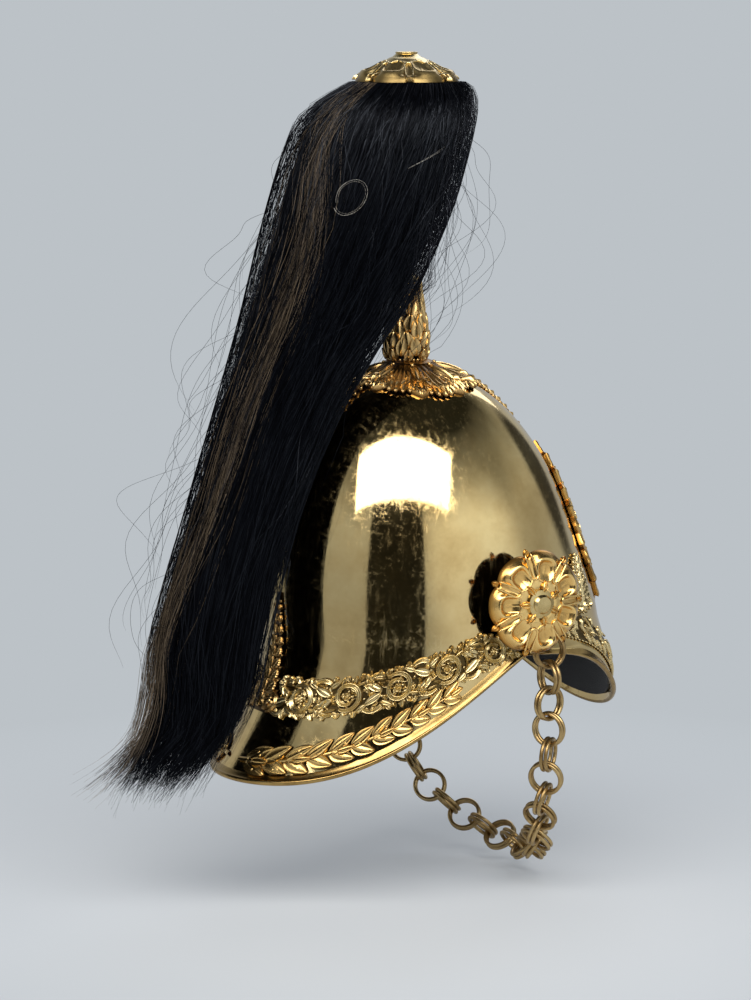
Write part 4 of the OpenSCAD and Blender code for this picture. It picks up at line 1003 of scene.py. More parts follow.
def rose_items(lay, rise, cone, seeds=True):
    """A rose's petals, and between them looped sepals, a zigzag of wire and, where asked for, seeds."""
    petals = take(draped(280, 52, lambda u, v: petal_field(u, v, rise, cone), close=True))
    items = [(petals, lay, {"shine": 0.85, "dim": 0.1})]

    def wire(path, rad, n, raise_by):
        def place(u, v):
            x, y = path(u)
            x2, y2 = path(np.clip(u + 1e-3, 0, 1))
            x1, y1 = path(np.clip(u - 1e-3, 0, 1))
            dx, dy = x2 - x1, y2 - y1
            ln = np.maximum(np.hypot(dx, dy), 1e-9)
            w = rad * np.clip(np.minimum(u, 1 - u) * 14 + 0.35, 0, 1)
            c, s = np.cos(TURN * v), np.sin(TURN * v)
            h = np.interp(np.hypot(x, y) / ROSE_R, *cone) + raise_by + w * s
            return np.stack([x - dy / ln * w * c, y + dx / ln * w * c, h], -1)
        return take(draped(n, 10, place, close=True))

    def zigzag(u, m):
        r = ROSE_R * (0.52 - 0.17 * u + 0.12 * np.clip(u - 0.5, 0, 1))
        b = m * (math.pi / PETALS) * (0.12 + 0.85 * u)
        return r * np.cos(b), r * np.sin(b)
    loop = wire(sepal_loop, 0.75, 84, 0.6)
    zig = [wire(lambda u, m=m: zigzag(u, m), 0.6, 10, 0.1) for m in (-1, 1)]
    seed = (SHAPES["seed"], {"u": ROSE_R * 0.22, "lift": 0.1, "size": 0.9, "dim": 0.1})
    between = [(loop, {"shine": 0.3, "dim": 0.65}),
               (zig[0], {"shine": 0.4, "dim": 0.5}),
               (zig[1], {"shine": 0.4, "dim": 0.5}),
               (SHAPES["sepal"], {"u": ROSE_R * 0.9, "lift": 1.2, "dim": 0.1})]

    def turned(a, rest):
        def place(u, v, h):
            x, y = u * math.cos(a) - v * math.sin(a), u * math.sin(a) + v * math.cos(a)
            return lay(x, y, h + rest * np.interp(np.hypot(u, v) / ROSE_R, *cone))
        return place
    for i in range(PETALS):
        if seeds:
            items.append((seed[0], turned(TURN * (i + 0.5) / PETALS, True), seed[1]))
        items += [(shape, turned(TURN * i / PETALS, False), k) for shape, k in between]
    return items


def ear_rose(name, side, rise):
    """The rose over an ear and the back that closes it, painted dark as the shade behind the rose."""
    def lay(u, v, h):
        return np.stack([side * (ROSE_X + h), -ROSE_FRONT - u, ROSE_Z + v], -1)
    items = rose_items(lay, rise, EAR_CONE)
    stamp("ear_rose_" + name, items, "gilt", "helmet", "gilt_brass", "ear_rosette_" + name)
    # a near-black back disc: painted shade behind the rose
    back = draped(84, 6, lambda u, v: ring(TURN * u, ROSE_R * 0.9 * v, 1.2 + 1.2 * v ** 4), close=True)
    stamp("ear_rose_back_" + name, [(take(back), lay, {"shine": 0.0})], "painted_shade_back", "helmet", "gilt_brass")


def build_rosettes():
    """Both ear roses, the top rose and the flat head of the screw that holds it down."""
    rise = round(bpy.context.scene.helmet.petal_rise / MM, 3)
    ear_rose("right", -1, rise)
    ear_rose("left", 1, rise)
    items = rose_items(lambda u, v, h: np.stack([u, v, ROSE_BASE + h], -1), 3.3, TOP_CONE, seeds=False)
    stamp("top_rose", items, "pale", "plume_top", "gilt_brass", "top_rosette")

    def head(u, v):
        at = [0, 0.5, 0.62, 0.72, 0.85, 1]
        r = np.interp(v, at, [0, 6.2, 7.2, 7.6, 7.2, 5.0])
        return ring(TURN * u, r, ROSE_BASE + np.interp(v, at, [19.4, 19.2, 19.6, 19.1, 18.0, 16.6]))
    o = draped(64, 24, head, close=True)
    apply(o, "SUBSURF", levels=1, render_levels=1)
    dress(o, "cap_head", "turned", "plume_top", 50)
    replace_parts(o, "top_cap")


# finishes of the CAD nodes that stay on show
CAD_FINISHES = {
    "bronze": ["socket_tube", "plume_disc"],
    "turned": ["crown_washer", "crown_nut", "plume_stem", "rosette_boss_right", "rosette_boss_left",
               "rosette_post_right", "rosette_post_left"],
    "chain": ["chain_hook_right", "chain_hook_left", "chain_hangers", "chain_right", "chain_bottom",
              "chain_left"],
}


def finish_nodes():
    """Gives every CAD node that stays on show its own finish."""
    for finish, names in CAD_FINISHES.items():
        for name in names:
            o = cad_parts[name]
            o.data.materials.clear()
            o.data.materials.append(FINISHES[finish])


# Horsehair
HAIR_FINE = np.linspace(0, 1, 301)


def smoothed(at, values):
    """The table as an even curve, rounded off everywhere but at its ends."""
    y = np.interp(HAIR_FINE, at, values)
    for _ in range(3):
        pad = np.concatenate([2 * y[0] - y[9:0:-1], y, 2 * y[-1] - y[-2:-11:-1]])
        y = np.convolve(pad, np.hanning(19) / np.hanning(19).sum(), "valid")
    return y


# down the fall, from 0 at the disc to 1 at its foot: middle line, depth and width as shares of the radius
HAIR_Q = [0, .012, .038, .084, .17, .24, .31, .37, .41, .48, .55, .61, .69, .8, .87, .936, .977, 1]
HAIR_MID = smoothed(HAIR_Q, [1, 6, 13.4, 21, 33.8, 46.2, 59.4, 74.6, 85.7, 99.8, 113, 123.6, 136.7, 151,
                             153, 165, 179, 187])
HAIR_DEEP = smoothed(HAIR_Q, [.78, .9, 1.0, 1.06, 1.08, 1.05, .99, .89, .81, .77, .73, .7, .7, .71,
                              .62, .5, .5, .45])
HAIR_WIDE = smoothed([0, .012, .05, .17, .24, .37, .48, .69, .87, .936, .977, 1],
                     [.78, 1.0, 1.02, .98, .9, .68, .52, .52, .66, .68, .6, .4])
# how the faded bundle winds round the fall on its way down
FADED_Q = [0, .03, .1, .17, .21, .58, .68, .75, .9, 1]
FADED_TURN = [.3, .3, .3, .1, 0, 0, .18, .33, .63, .7]
# how far back the wisp hangs
WISP_LINE = smoothed([0, .5, .6, .69, .75, .8, .857, .913, .962, 1],
                     [60, 139, 156, 172, 182, 190, 191.6, 199, 216, 250])
HAIR_BACK, NECK_R = 252.0, 20.0
HAIR_ON_BRASS = SKULL_H + 8


def brass_back(x, z):
    """How far back the skull reaches at (x, z)."""
    g = np.where(z >= 0, sind(np.degrees(np.arccos(np.clip(z / SKULL_H, -1, 1)))), 1.0)
    m = np.where(z < 0, np.clip(z / -REAR_DROP, 0, 1), 0) ** 1.65
    wide = SKULL_W / 2 * g + (RIM_W - SKULL_W) / 2 * m
    reach = (HALF_LEN - SKULL_MID) * g + (REAR_REACH - HALF_LEN + SKULL_MID) * m
    mid = SKULL_MID * g
    beside = np.clip(np.abs(x) / np.maximum(wide, 1e-3), 0, 1) ** REAR_SQUARE
    return (reach + mid) * np.clip(1 - beside, 0, 1) ** (1 / REAR_SQUARE) - mid


def hair_point(q, rho, phi):
    """A point in the fall of hair: q down its length, rho out from its middle line and phi round it."""
    deep = HAIR_R * np.interp(q, HAIR_FINE, HAIR_DEEP)
    wide = HAIR_R * np.interp(q, HAIR_FINE, HAIR_WIDE)
    y = np.interp(q, HAIR_FINE, HAIR_MID) - deep * rho * np.cos(phi)
    return -wide * rho * np.sin(phi), y, HAIR_TOP - HAIR_L * q


def tubes(name, paths, radius, finish, rng):
    """Closed three-sided tubes along the rows of paths, tapering to their tips, each with its own tone."""
    n, k, _ = paths.shape
    d = np.gradient(paths, axis=1)
    d /= np.maximum(np.linalg.norm(d, axis=2, keepdims=True), 1e-9)
    a = np.cross(d, np.array([0.3, 0.9, 0.2]))
    a /= np.maximum(np.linalg.norm(a, axis=2, keepdims=True), 1e-9)
    b = np.cross(d, a)
    taper = np.interp(np.linspace(0, 1, k), [0, 0.05, 0.8, 1], [0.7, 1, 0.9, 0.3])
    r = radius[:, None, None] * taper[None, :, None]
    corners = [paths + r * (math.cos(w) * a + math.sin(w) * b) for w in (0, 2.094, 4.189)]
    points = np.stack(corners, 2).reshape(-1, 3)
    i = np.arange(n)[:, None, None] * k * 3 + np.arange(k - 1)[None, :, None] * 3
    j = np.arange(3)[None, None, :]
    quads = np.stack([i + j, i + (j + 1) % 3, i + 3 + (j + 1) % 3, i + 3 + j], -1).reshape(-1, 4)
    root = np.arange(n) * k * 3
    tip = root + (k - 1) * 3
    caps = np.concatenate([np.stack([root + 2, root + 1, root], -1), np.stack([tip, tip + 1, tip + 2], -1)])
    loops = np.concatenate([quads.ravel(), caps.ravel()])
    starts = np.concatenate([np.arange(len(quads)) * 4, len(quads) * 4 + np.arange(len(caps)) * 3])
    me = bpy.data.meshes.new(name)
    me.vertices.add(len(points))
    me.vertices.foreach_set("co", (points * MM).ravel().astype(np.float32))
    me.loops.add(len(loops))
    me.loops.foreach_set("vertex_index", loops.astype(np.int32))
    me.polygons.add(len(starts))
    me.polygons.foreach_set("loop_start", starts.astype(np.int32))
    me.update(calc_edges=True)
    me.validate()
    tone = np.repeat(rng.uniform(0, 1, n), k * 3).astype(np.float32)
    me.attributes.new("tone", "FLOAT", "POINT").data.foreach_set("value", tone)
    dress(linked(name, me), name, finish, "plume", 80)


def strands(rng, name, count, finish, width, rhos, phis, steps, wild, end, clumps, spread=1.0, drift=0):
    """Hairs as fine tubes, gathered into locks that drift and part towards their tips."""
    clump_phi = rng.uniform(*phis, clumps)
    clump_rho = rng.uniform(*rhos, clumps)
    habit = rng.normal(0, 0.5, (clumps, 4))
    phi0 = rng.uniform(*phis, count)
    near = np.argmin(np.abs(phi0[:, None] - clump_phi[None, :]) + rng.uniform(0, 0.3, (count, clumps)), 1)
    habit = habit[near]
    rho0 = rng.uniform(*rhos, count)
    q_end = rng.uniform(*end, count) - 0.05 * np.abs(habit[:, 3])
    u = np.linspace(0, 1, steps + 1)[None, :]
    q = q_end[:, None] * np.interp(u, [0, 0.25, 0.75, 1], [0, 0.12, 0.8, 1])
    pull = 0.75 * np.clip(u * 1.3, 0, 1) ** 0.8
    phi = phi0[:, None] * (1 - pull) + clump_phi[near][:, None] * pull
    rho = rho0[:, None] * (1 - pull * 0.5) + clump_rho[near][:, None] * pull * 0.5
    sway = np.sin(TURN * (u * (0.8 + 0.6 * habit[:, 0][:, None]) + habit[:, 1][:, None])) * 0.05 * wild
    round_it = np.cumsum(rng.normal(0, 1, (count, steps + 1)), 1) * 0.014 * wild
    outwards = np.cumsum(rng.normal(0, 1, (count, steps + 1)), 1) * 0.011 * wild
    grow = np.clip((u - 0.04) * 2.5, 0, 1)
    phi = phi + (sway + round_it) * grow + drift * np.interp(q, FADED_Q, FADED_TURN)
    outwards = (outwards + 0.05 * habit[:, 2][:, None] * np.sin(np.pi * u * 1.5)) * grow * spread
    x, y, z = hair_point(q, np.clip(rho + outwards, 0.02, 1.22), phi)
    # hairs leave the disc's rim and turn down over the first few millimetres
    root = np.clip(1 - u * 9, 0, 1) ** 1.5
    x = x * (1 - 0.12 * root)
    y = y * (1 - 0.12 * root)
    # ragged ends that flick back and outwards
    flick = np.clip((q - 0.89) / 0.13, 0, 1) ** 1.6 * (rng.uniform(-4, 26, count) + 16 * habit[:, 0])[:, None]
    y = y + flick
    z = z + 0.4 * np.clip(flick, 0, 40)
    # they lie on the brass and stand clear of the socket
    y = np.where(z < HAIR_ON_BRASS, np.maximum(y, brass_back(x, z) + 2.2 + 3.0 * rho0[:, None]), y)
    r = np.hypot(x, y)
    inside = (z > SKULL_H) & (z < SOCKET_TOP + 4) & (r < NECK_R)
    k = np.where(inside, NECK_R / np.maximum(r, 1e-3), 1)
    paths = np.stack([x * k, np.minimum(y * k, HAIR_BACK), z + 0 * x], -1)
    tubes(name, paths, width * rng.uniform(0.7, 1.25, count), finish, rng)


def hair_heart():
    """The dark heart of the fall, so that no light comes through."""
    def place(u, v):
        rho = 0.76 - 0.2 * v ** 4 - 0.5 * np.clip(1 - v * 10, 0, 1) ** 2
        x, y, z = hair_point(0.012 + 0.88 * v, rho, TURN * u)
        y = np.where(z < HAIR_ON_BRASS, np.maximum(y, brass_back(x, z) + 3.5), y)
        return np.stack([x, y, z - 1], -1)
    o = draped(48, 70, place, close=True)
    dress(o, "hair_heart", "heart", "plume", 80)
    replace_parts(o, "plume_hair")


# name, count, finish, radius, rho span, phi span, steps, wildness, where they end, locks, spread and drift
LOOSE_HAIR = [
    ("hair_loose", 1450, "hair", 0.14, (0.94, 1.13), (0, TURN), 16, 5.0, (0.4, 1.05), 700, 2.2),
    ("hair_fringe", 150, "hair", 0.1, (1.04, 1.2), (0.1, 0.95), 12, 2.6, (0.2, 0.42), 30, 1.2),
    ("hair_faded", 210, "brown_hair", 0.13, (1.0, 1.05), (2.5, 2.64), 16, 1.4, (0.6, 1.0), 9, 1.0, 1),
    ("hair_faded_loose", 70, "brown_hair", 0.12, (1.0, 1.1), (2.35, 2.9), 16, 4.0, (0.5, 1.0), 50, 1.6, 1),
]


def build_hair():
    """The heart, the locks that cover it, and the loose and faded hairs over them."""
    settings = bpy.context.scene.helmet
    width = round(settings.hair_width / MM, 3)
    rng = np.random.default_rng(11)
    hair_heart()
    for i in range(settings.lock_meshes):
        name = "hair_locks_%d" % (i + 1)
        strands(rng, name, 1400, "hair", width, (0.76, 1.0), (0, TURN), 10, 1.8, (0.8, 1.02), 110)
    for kind in LOOSE_HAIR:
        strands(rng, *kind)


# stray hairs: spans of phi, of where they spring out, how far, and down how much of the fall
STRAYS = [
    [(0.2, 1.3), (0.05, 0.2), (14, 52), (0.16, 0.34)],
    [(2.6, 4.2), (0.15, 0.6), (10, 48), (0.14, 0.34)],
    [(0.4, 5.9), (0.02, 0.7), (4, 26), (0.1, 0.3)],
]


def stray_hair(rng, i):
    """One hair that bows out of the fall and comes back to it."""
    u = np.linspace(0, 1, 26)
    phi, q0, reach, run = [rng.uniform(*span) for span in STRAYS[min(i % 4, 2)]]
    x, y, z = hair_point(q0 + u * run, 1.0, phi + rng.uniform(-0.5, 0.5) * u)
    bend = np.sin(np.pi * u * rng.uniform(0.55, 1.0))
    wave = 1 + 0.25 * np.sin(u * rng.uniform(4, 11) + i)
    x = np.clip(x - math.sin(phi) * reach * bend * wave, -118, 118)
    y = np.clip(y - math.cos(phi) * reach * bend * wave, -140, 246)
    z = z + 6 * np.sin(u * rng.uniform(2, 8)) * bend
    y = np.where((z < HAIR_ON_BRASS) & (y > -20), np.maximum(y, brass_back(x, z) + 3), y)
    return np.stack([x, y, z], -1)


def wisp_hair(rng):
    """One hair of the wisp that leaves the rear of the fall and curls out level with its foot."""
    lean, own, full = rng.normal(0, 1), rng.normal(0, 1), rng.uniform(0.93, 1)
    q = 0.5 + np.linspace(0, 1, 30) * (full - 0.5)
    loose = np.clip((q - 0.72) / 0.28, 0, 1)
    y = np.interp(q, HAIR_FINE, WISP_LINE) + lean * (1.4 + 1.2 * loose) + 1.6 * np.sin(q * 30 + own)
    x = 4 * own * (1 + loose) + 3 * np.sin(q * 17)
    z = HAIR_TOP - HAIR_L * q + own * 6 * loose ** 3
    return np.stack([x, np.minimum(y, HAIR_BACK), z], -1)


def pale_and_loop():
    """One pale hair and one loop that lie on the fall, two strands to each."""
    u = np.linspace(0, 1, 29)
    a = 0.6 + 6.0 * u
    rows = []
    for k in (0, 1):
        rows.append(hair_point(0.118 - 0.029 * u + 0.003 * k * u, 1.09, 1.62 - 0.47 * u))
    for k in (0, 1):
        phi = 2.2 + 0.19 * np.cos(a) * (1 - 0.12 * k) - 0.2 * np.clip(u - 0.85, 0, 1)
        rows.append(hair_point(0.158 + 0.025 * np.sin(a) * (1 - 0.1 * k), 1.09, phi))
    return np.array([np.stack(row, -1) for row in rows])


def build_strays():
    """Single hairs that have sprung out of the fall, the wisp at its foot and the pale hairs on it."""
    rng = np.random.default_rng(5)
    strays = np.array([stray_hair(rng, i) for i in range(bpy.context.scene.helmet.stray_hairs)])
    tubes("stray_hairs", strays, np.full(len(strays), 0.13), "hair", rng)
    wisp = np.array([wisp_hair(rng) for _ in range(70)])
    tubes("wisp", wisp, np.full(len(wisp), 0.14), "brown_hair", rng)
    tubes("pale_hair", pale_and_loop(), np.array([0.2, 0.16, 0.14, 0.12]), "pale_hair", rng)


# Lining
LINED = -WALL - 0.3
BAND_FOOT, BAND_TALL = -9, 34
HAMMOCK_Z = 126
TONGUES = 8


def build_sweatband():
    """The leather band round the head, faintly waved at its top."""
    def band(u, v):
        t = 360 * u
        z = BAND_FOOT + BAND_TALL * v
        px, py = skull_plan(t, LINED - 1.4)
        g = sind(np.degrees(np.arccos(np.clip(np.maximum(z, 0) / SKULL_H, 0, 1))))
        wave = 0.25 * np.sin(np.radians(t) * 14) * v
        return np.stack([px * g * (1 - wave / 95), py * g * (1 - wave / 95), z], -1)
    o = draped(144, 12, band, close=True, flip=True)
    apply(o, "SOLIDIFY", thickness=2.0 * MM, offset=0.0)
    apply(o, "BEVEL", width=0.5 * MM, segments=2, limit_method="ANGLE", angle_limit=1.0)
    dress(o, "sweatband_leather", "brown", "helmet", 50)
    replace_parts(o, "sweatband")


def hammock(t, s, off):
    """The surface that the tongues hang in, from the sweatband up to the cord."""
    px, py = skull_plan(t, LINED - 0.15 - 1.2 + off)
    z0 = BAND_FOOT + BAND_TALL + 0.3
    g = sind(np.degrees(np.arccos(z0 / SKULL_H))) * sind(90 * s)
    return np.stack([px * g, py * g, z0 + (HAMMOCK_Z - z0 + off) * cosd(90 * s)], -1)


def build_tongues():
    """The tongues over the crown of the head and the closed cord that laces their tips."""
    pitch = 360 / TONGUES
    for i in range(TONGUES):
        def tongue(u, v):
            taper = 0.94 - 0.5 * np.clip(v - 0.25, 0, 1)
            half = pitch / 2 * taper * (1 - 0.35 * np.clip((v - 0.9) / 0.1, 0, 1) ** 2)
            t = (i + 0.5) * pitch + half * (u * 2 - 1) * 0.98
            return hammock(t, 1 - 0.74 * v, -0.8 + 0.5 * np.sin(6 * v + i))
        o = draped(14, 24, tongue)
        apply(o, "SOLIDIFY", thickness=1.4 * MM, offset=0.0)
        dress(o, "crown_tongue_%d" % (i + 1), "brown", "helmet", 50)
        if i == 0:
            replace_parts(o, "crown_tongues")

    def cord(u, v):
        t = 360 * u
        c = hammock(t, 0.3 + 0 * t, -3.6 + 1.0 * np.cos(np.radians(t) * TONGUES))
        out = c * [1, 1, 0] / np.linalg.norm(c * [1, 1, 0], axis=1)[:, None]
        up = np.array([0, 0, 1])
        return c + out * (1.1 * np.cos(TURN * v))[:, None] + up * (1.1 * np.sin(TURN * v))[:, None]
    o = draped(96, 8, cord, close=True)
    dress(o, "lacing_cord", "cord", "helmet", 80)
    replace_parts(o, "tongue_cord")


def build_facings():
    """The leather inside the front and the rear peak."""
    for name, start, end in (("front", -60, 60), ("rear", 112.5, 247.5)):
        def facing(u, v):
            t = start + (end - start) * u
            top = s_at(t, -9.6 + 0 * t)
            return skin(t, top + (1.93 - top) * v, LINED - 0.9)
        o = draped(60, 16, facing)
        apply(o, "SOLIDIFY", thickness=1.0 * MM, offset=0.0)
        dress(o, name + "_peak_leather", "black", "helmet", 50)
        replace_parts(o, name + "_facing")


# Stage
CAM_AT = Vector((-2.0129, 1.1395, 0.4298))
AIM = Vector((0.0101, 0.0181, 0.080))
LIT_AT = Vector((0, 0, 0.08))
FOCAL, FRAME_TALL, SENSOR = 3440, 1000, 36
FLOOR_R, FLOOR_Z = 850.0, -186.0
TO_CAM = Vector(((CAM_AT - AIM).x, (CAM_AT - AIM).y, 0)).normalized()
RIGHT = Vector((-TO_CAM.y, TO_CAM.x, 0))


def around(az, el, dist):
    """A place dist metres out, az degrees round from the camera to its right and el degrees up."""
    a, e = math.radians(az), math.radians(el)
    level = (TO_CAM * math.cos(a) + RIGHT * math.sin(a)) * math.cos(e) * dist
    return level + Vector((0, 0, math.sin(e) * dist))


def aimed(name, data, at, aim):
    """Puts a light or a camera at a place and points it at aim."""
    o = linked(name, data)
    o.location = at
    o.rotation_euler = (aim - at).to_track_quat("-Z", "Y").to_euler()
    return o


def area(name, at, size, size_y, power, colour):
    """A rectangular light that shines on the skull."""
    d = bpy.data.lights.new(name, "AREA")
    d.energy = power
    d.color = hexcol(colour)[:3]
    d.shape = "RECTANGLE"
    d.size, d.size_y = size, size_y
    aimed(name, d, at, LIT_AT)


def build_room(backdrop):
    """The room that the brass mirrors, unseen by the camera: pale walls, a dark ceiling and a doorway."""
    world = bpy.data.worlds.new("Studio")
    bpy.context.scene.world = world
    world.use_nodes = True
    world.node_tree.nodes.clear()
    way = add(world, "ShaderNodeTexCoord").outputs["Generated"]
    z = add(world, "ShaderNodeSeparateXYZ", links={0: way}).outputs["Z"]
    cloud = add(world, "ShaderNodeTexNoise", {"Scale": 2.2, "Detail": 2.0}, {"Vector": way}).outputs["Fac"]
    level = add(world, "ShaderNodeMath", {1: 0.3, 2: -0.15}, {0: cloud}, operation="MULTIPLY_ADD").outputs[0]
    height = add(world, "ShaderNodeMath", links={0: z, 1: level}, operation="ADD").outputs[0]
    greys = [(0.0, "B9BEC4"), (0.32, "CDD2D6"), (0.6, "8E9294"), (0.78, "2E302E")]
    wall = add(world, "ShaderNodeValToRGB", links={"Fac": height}, stops=greys).outputs["Color"]
    # a soft glow on the wall to the right of the camera
    facing = add(world, "ShaderNodeVectorMath", {1: tuple(around(50, 9, 1))}, {0: way},
                 operation="DOT_PRODUCT").outputs["Value"]
    glow = add(world, "ShaderNodeMapRange", {"From Min": 0.8, "From Max": 1.0, "To Min": 0.82, "To Max": 1.7},
               {"Value": facing}, interpolation_type="SMOOTHERSTEP").outputs[0]
    # a dark doorway further to the right, which the front of the skull mirrors as a dark line
    door = add(world, "ShaderNodeVectorMath", {1: tuple(around(133, 14, 1))}, {0: way},
               operation="DOT_PRODUCT").outputs["Value"]
    span = {"From Min": 0.955, "From Max": 0.985, "To Min": 1.0, "To Max": 0.12}
    dim = add(world, "ShaderNodeMapRange", span, {"Value": door}, interpolation_type="SMOOTHSTEP").outputs[0]
    power = add(world, "ShaderNodeMath", links={0: glow, 1: dim}, operation="MULTIPLY").outputs[0]
    room = add(world, "ShaderNodeBackground", links={"Color": wall, "Strength": power})
    plain = add(world, "ShaderNodeBackground", {"Color": backdrop})
    seen = add(world, "ShaderNodeLightPath").outputs["Is Camera Ray"]
    mix = add(world, "ShaderNodeMixShader", links={0: seen, 1: room.outputs[0], 2: plain.outputs[0]})
    add(world, "ShaderNodeOutputWorld", links={"Surface": mix.outputs[0]})


def painted_paper(backdrop):
    """Matt paper, which turns into the backdrop's colour towards its edge where the camera sees it."""
    m, pos = new_material("Matt painted paper")
    cloud = cloudy(m, pos, 3, 2)
    greys = [(0.2, "CCD1D6"), (0.8, "D4D8DC")]
    tone = add(m, "ShaderNodeValToRGB", links={"Fac": cloud}, stops=greys).outputs["Color"]
    matt = {"Roughness": 0.9, "Specular IOR Level": 0.2}
    paper = add(m, "ShaderNodeBsdfPrincipled", matt, {"Base Color": tone})
    level = add(m, "ShaderNodeVectorMath", {1: (1, 1, 0)}, {0: pos}, operation="MULTIPLY").outputs["Vector"]
    gone = add(m, "ShaderNodeVectorMath", links={0: level}, operation="LENGTH").outputs["Value"]
    far = add(m, "ShaderNodeMapRange", {"From Min": 0.05, "From Max": 0.6, "To Min": 0.3, "To Max": 1.0},
              {"Value": gone}, interpolation_type="SMOOTHSTEP").outputs[0]
    fade = [(0.25, "C8CED4"), (0.6, backdrop)]
    shade = add(m, "ShaderNodeValToRGB", links={"Fac": gone}, stops=fade).outputs["Color"]
    lit = add(m, "ShaderNodeEmission", {"Strength": 1.0}, {"Color": shade})
    seen = add(m, "ShaderNodeLightPath").outputs["Is Camera Ray"]
    eye = add(m, "ShaderNodeMath", links={0: far, 1: seen}, operation="MULTIPLY").outputs[0]
    mixed = add(m, "ShaderNodeMixShader", links={0: eye, 1: paper.outputs[0], 2: lit.outputs[0]})
    add(m, "ShaderNodeOutputMaterial", links={"Surface": mixed.outputs[0]})
    return m


def flocked_cloth():
    """Black flock, which gives nothing back but a faint warm grey."""
    m, pos = new_material("Black flocked cloth")
    cloud = cloudy(m, pos, 5, 4)
    greys = [(0.3, "1E1E18"), (0.7, "3C3A30")]
    tone = add(m, "ShaderNodeValToRGB", links={"Fac": cloud}, stops=greys).outputs["Color"]
    return surfaced(m, {"Roughness": 0.95}, {"Base Color": tone})


def build_stage():
    """The camera, the room, a round floor, two lights and a black flag behind the camera."""
    sc = bpy.context.scene
    backdrop = tuple(sc.helmet.backdrop)
    sc.view_settings.view_transform = "Standard"
    lens = bpy.data.cameras.new("Camera")
    lens.lens, lens.sensor_width, lens.clip_end = FOCAL / FRAME_TALL * SENSOR, SENSOR, 50
    sc.camera = aimed("Camera", lens, CAM_AT, AIM)
    build_room(backdrop)
    o = draped(96, 30, lambda u, v: ring(TURN * u, FLOOR_R * v, FLOOR_Z), close=True)
    o.name = "floor"
    o.data.materials.append(painted_paper(backdrop))
    area("Window", around(-2, 46, 1.25), 1.9, 0.62, sc.helmet.window_power, "FFFBF6")
    area("Fill", around(165, 42, 2.6), 1.6, 1.6, 16, "F4F6FF")
    # the skull mirrors the flag as an upright dark shape; the camera doesn't see it
    bpy.ops.mesh.primitive_plane_add(size=1, location=around(-4, 0, 2.75) + Vector((0, 0, 0.58)))
    flag = bpy.context.object
    flag.name = "flag"
    flag.scale = (2.3, 2.3, 1)
    flag.rotation_euler = (math.radians(90), 0, math.atan2(TO_CAM.y, TO_CAM.x) - math.pi / 2)
    flag.visible_camera = False
    flag.data.materials.append(flocked_cloth())


# Settings
class HelmetSettings(bpy.types.PropertyGroup):
    """What a user would change before the pieces are made."""
    petal_rise: bpy.props.FloatProperty(name="Petal rise", description="Height of the ear roses' petals",
                                        default=0.0029, min=0.001, max=0.004, precision=4, unit="LENGTH")
    hair_width: bpy.props.FloatProperty(name="Hair width", description="Radius of a hair in the locks",
                                        default=0.00027, min=0.0001, max=0.0005, precision=5, unit="LENGTH")
    lock_meshes: bpy.props.IntProperty(name="Locks", description="Meshes of 1400 hairs in the fall",
                                       default=6, min=1, max=8)
    stray_hairs: bpy.props.IntProperty(name="Stray hairs", description="Single hairs that have sprung out",
                                       default=110, min=1, max=200)
    window_power: bpy.props.FloatProperty(name="Window", description="Power of the window's light in watts",
                                          default=24.0, min=0.0, max=200.0)
    backdrop: bpy.props.FloatVectorProperty(name="Backdrop", description="Colour behind the helmet",
                                            default=hexcol("BCC2C7"), size=4, min=0.0, max=1.0,
                                            subtype="COLOR")


# Operators
def finished(*names):
    """Ends an operator, or stops it with an error where a piece is missing or has no faces."""
    for name in names:
        o = bpy.data.objects.get(name)
        if o is None or not o.data.polygons:
            raise RuntimeError("The piece %s was not made" % name)
    return {"FINISHED"}


class Step:
    """What every operator here shares."""
    bl_options = {"REGISTER", "UNDO"}


class HELMET_OT_stage(Step, bpy.types.Operator):
    """Adds the camera, lights, floor and backdrop"""
    bl_idname = "helmet.stage"
    bl_label = "Stage"

    def execute(self, context):
        build_stage()
        return finished("floor", "flag")


class HELMET_OT_finishes(Step, bpy.types.Operator):
    """Makes the materials and the flat shapes"""
    bl_idname = "helmet.finishes"
    bl_label = "Finishes"

    def execute(self, context):
        make_finishes()
        make_shapes()
        return finished()


class HELMET_OT_skull(Step, bpy.types.Operator):
    """Raises the smooth skull"""
    bl_idname = "helmet.skull"
    bl_label = "Skull"

    def execute(self, context):
        build_skull()
        return finished("skull_sheet")


class HELMET_OT_edges(Step, bpy.types.Operator):
    """Rolls the bindings along the rim"""
    bl_idname = "helmet.edges"
    bl_label = "Bindings"

    def execute(self, context):
        build_edges()
        return finished("front_binding", "rear_binding")


class HELMET_OT_side_bands(Step, bpy.types.Operator):
    """Stamps the scrolled bands"""
    bl_idname = "helmet.side_bands"
    bl_label = "Side bands"

    def execute(self, context):
        build_side_bands()
        return finished("side_band_relief_right", "side_band_relief_left")


class HELMET_OT_front_band(Step, bpy.types.Operator):
    """Stamps the foliage over the front peak"""
    bl_idname = "helmet.front_band"
    bl_label = "Front band"

    def execute(self, context):
        build_front_band()
        return finished("front_band_relief")


class HELMET_OT_rear_ornament(Step, bpy.types.Operator):
    """Stamps the tapering foliage at the back"""
    bl_idname = "helmet.rear_ornament"
    bl_label = "Rear ornament"

    def execute(self, context):
        build_rear_ornament()
        return finished("rear_ornament_relief")


class HELMET_OT_laurel(Step, bpy.types.Operator):
    """Stamps the laurel sprays"""
    bl_idname = "helmet.laurel"
    bl_label = "Laurel"

    def execute(self, context):
        build_laurel()
        return finished("laurel_spray_right", "laurel_spray_left")


class HELMET_OT_sprays(Step, bpy.types.Operator):
    """Stamps the sprays beside the plate"""
    bl_idname = "helmet.sprays"
    bl_label = "Front sprays"

    def execute(self, context):
        build_front_sprays()
        return finished("front_spray_relief_right", "front_spray_relief_left")


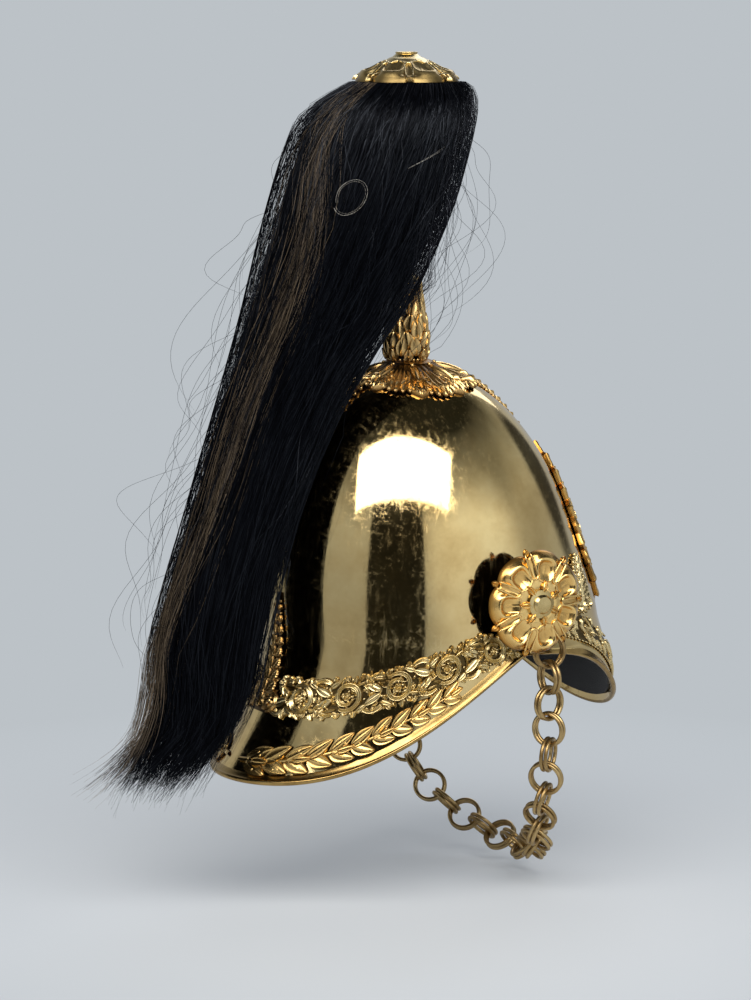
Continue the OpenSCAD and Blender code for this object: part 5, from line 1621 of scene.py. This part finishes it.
class HELMET_OT_plate(Step, bpy.types.Operator):
    """Strikes the star and its oval shield"""
    bl_idname = "helmet.plate"
    bl_label = "Front plate"

    def execute(self, context):
        build_front_plate()
        return finished("star_plate", "oval_shield")


class HELMET_OT_crown(Step, bpy.types.Operator):
    """Stamps the acanthus of the crown"""
    bl_idname = "helmet.crown"
    bl_label = "Crown"

    def execute(self, context):
        build_crown()
        return finished("crown_acanthus")


class HELMET_OT_socket(Step, bpy.types.Operator):
    """Stamps the leaves round the plume socket"""
    bl_idname = "helmet.socket"
    bl_label = "Socket"

    def execute(self, context):
        build_socket()
        return finished("socket_foliage")


class HELMET_OT_rosettes(Step, bpy.types.Operator):
    """Chases the ear roses and the top rose"""
    bl_idname = "helmet.rosettes"
    bl_label = "Rosettes"

    def execute(self, context):
        build_rosettes()
        return finished("ear_rose_right", "ear_rose_left", "ear_rose_back_right", "ear_rose_back_left",
                        "top_rose", "cap_head")


class HELMET_OT_nodes(Step, bpy.types.Operator):
    """Gives the CAD pieces their finishes"""
    bl_idname = "helmet.nodes"
    bl_label = "Carried-over pieces"

    def execute(self, context):
        finish_nodes()
        return finished()


class HELMET_OT_lining(Step, bpy.types.Operator):
    """Cuts the leather lining"""
    bl_idname = "helmet.lining"
    bl_label = "Lining"

    def execute(self, context):
        build_sweatband()
        build_tongues()
        build_facings()
        tongues = ["crown_tongue_%d" % (i + 1) for i in range(TONGUES)]
        return finished("sweatband_leather", *tongues, "lacing_cord", "front_peak_leather",
                        "rear_peak_leather")


class HELMET_OT_hair(Step, bpy.types.Operator):
    """Hangs the fall of hair"""
    bl_idname = "helmet.hair"
    bl_label = "Horsehair"

    def execute(self, context):
        build_hair()
        locks = ["hair_locks_%d" % (i + 1) for i in range(context.scene.helmet.lock_meshes)]
        return finished("hair_heart", *locks, *[kind[0] for kind in LOOSE_HAIR])


class HELMET_OT_strays(Step, bpy.types.Operator):
    """Lets single hairs spring out"""
    bl_idname = "helmet.strays"
    bl_label = "Stray hairs"

    def execute(self, context):
        build_strays()
        return finished("stray_hairs", "wisp", "pale_hair")


STEPS = [
    HELMET_OT_stage, HELMET_OT_finishes, HELMET_OT_skull, HELMET_OT_edges, HELMET_OT_side_bands,
    HELMET_OT_front_band, HELMET_OT_rear_ornament, HELMET_OT_laurel, HELMET_OT_sprays, HELMET_OT_plate,
    HELMET_OT_crown, HELMET_OT_socket, HELMET_OT_rosettes, HELMET_OT_nodes, HELMET_OT_lining,
    HELMET_OT_hair, HELMET_OT_strays,
]


class HELMET_PT_panel(bpy.types.Panel):
    """The settings and every step, in the order in which they are run"""
    bl_label = "Dragoon helmet"
    bl_idname = "HELMET_PT_panel"
    bl_space_type = "VIEW_3D"
    bl_region_type = "UI"
    bl_category = "Helmet"

    def draw(self, context):
        for name in HelmetSettings.__annotations__:
            self.layout.prop(context.scene.helmet, name)
        for step in STEPS:
            self.layout.operator(step.bl_idname)


CLASSES = [HelmetSettings, *STEPS, HELMET_PT_panel]


def register():
    for c in CLASSES:
        bpy.utils.register_class(c)
    bpy.types.Scene.helmet = bpy.props.PointerProperty(type=HelmetSettings)


def unregister():
    del bpy.types.Scene.helmet
    for c in reversed(CLASSES):
        bpy.utils.unregister_class(c)


def main():
    register()
    for step in STEPS:
        getattr(bpy.ops.helmet, step.bl_idname.split(".")[1])()


if __name__ == "__main__":
    main()
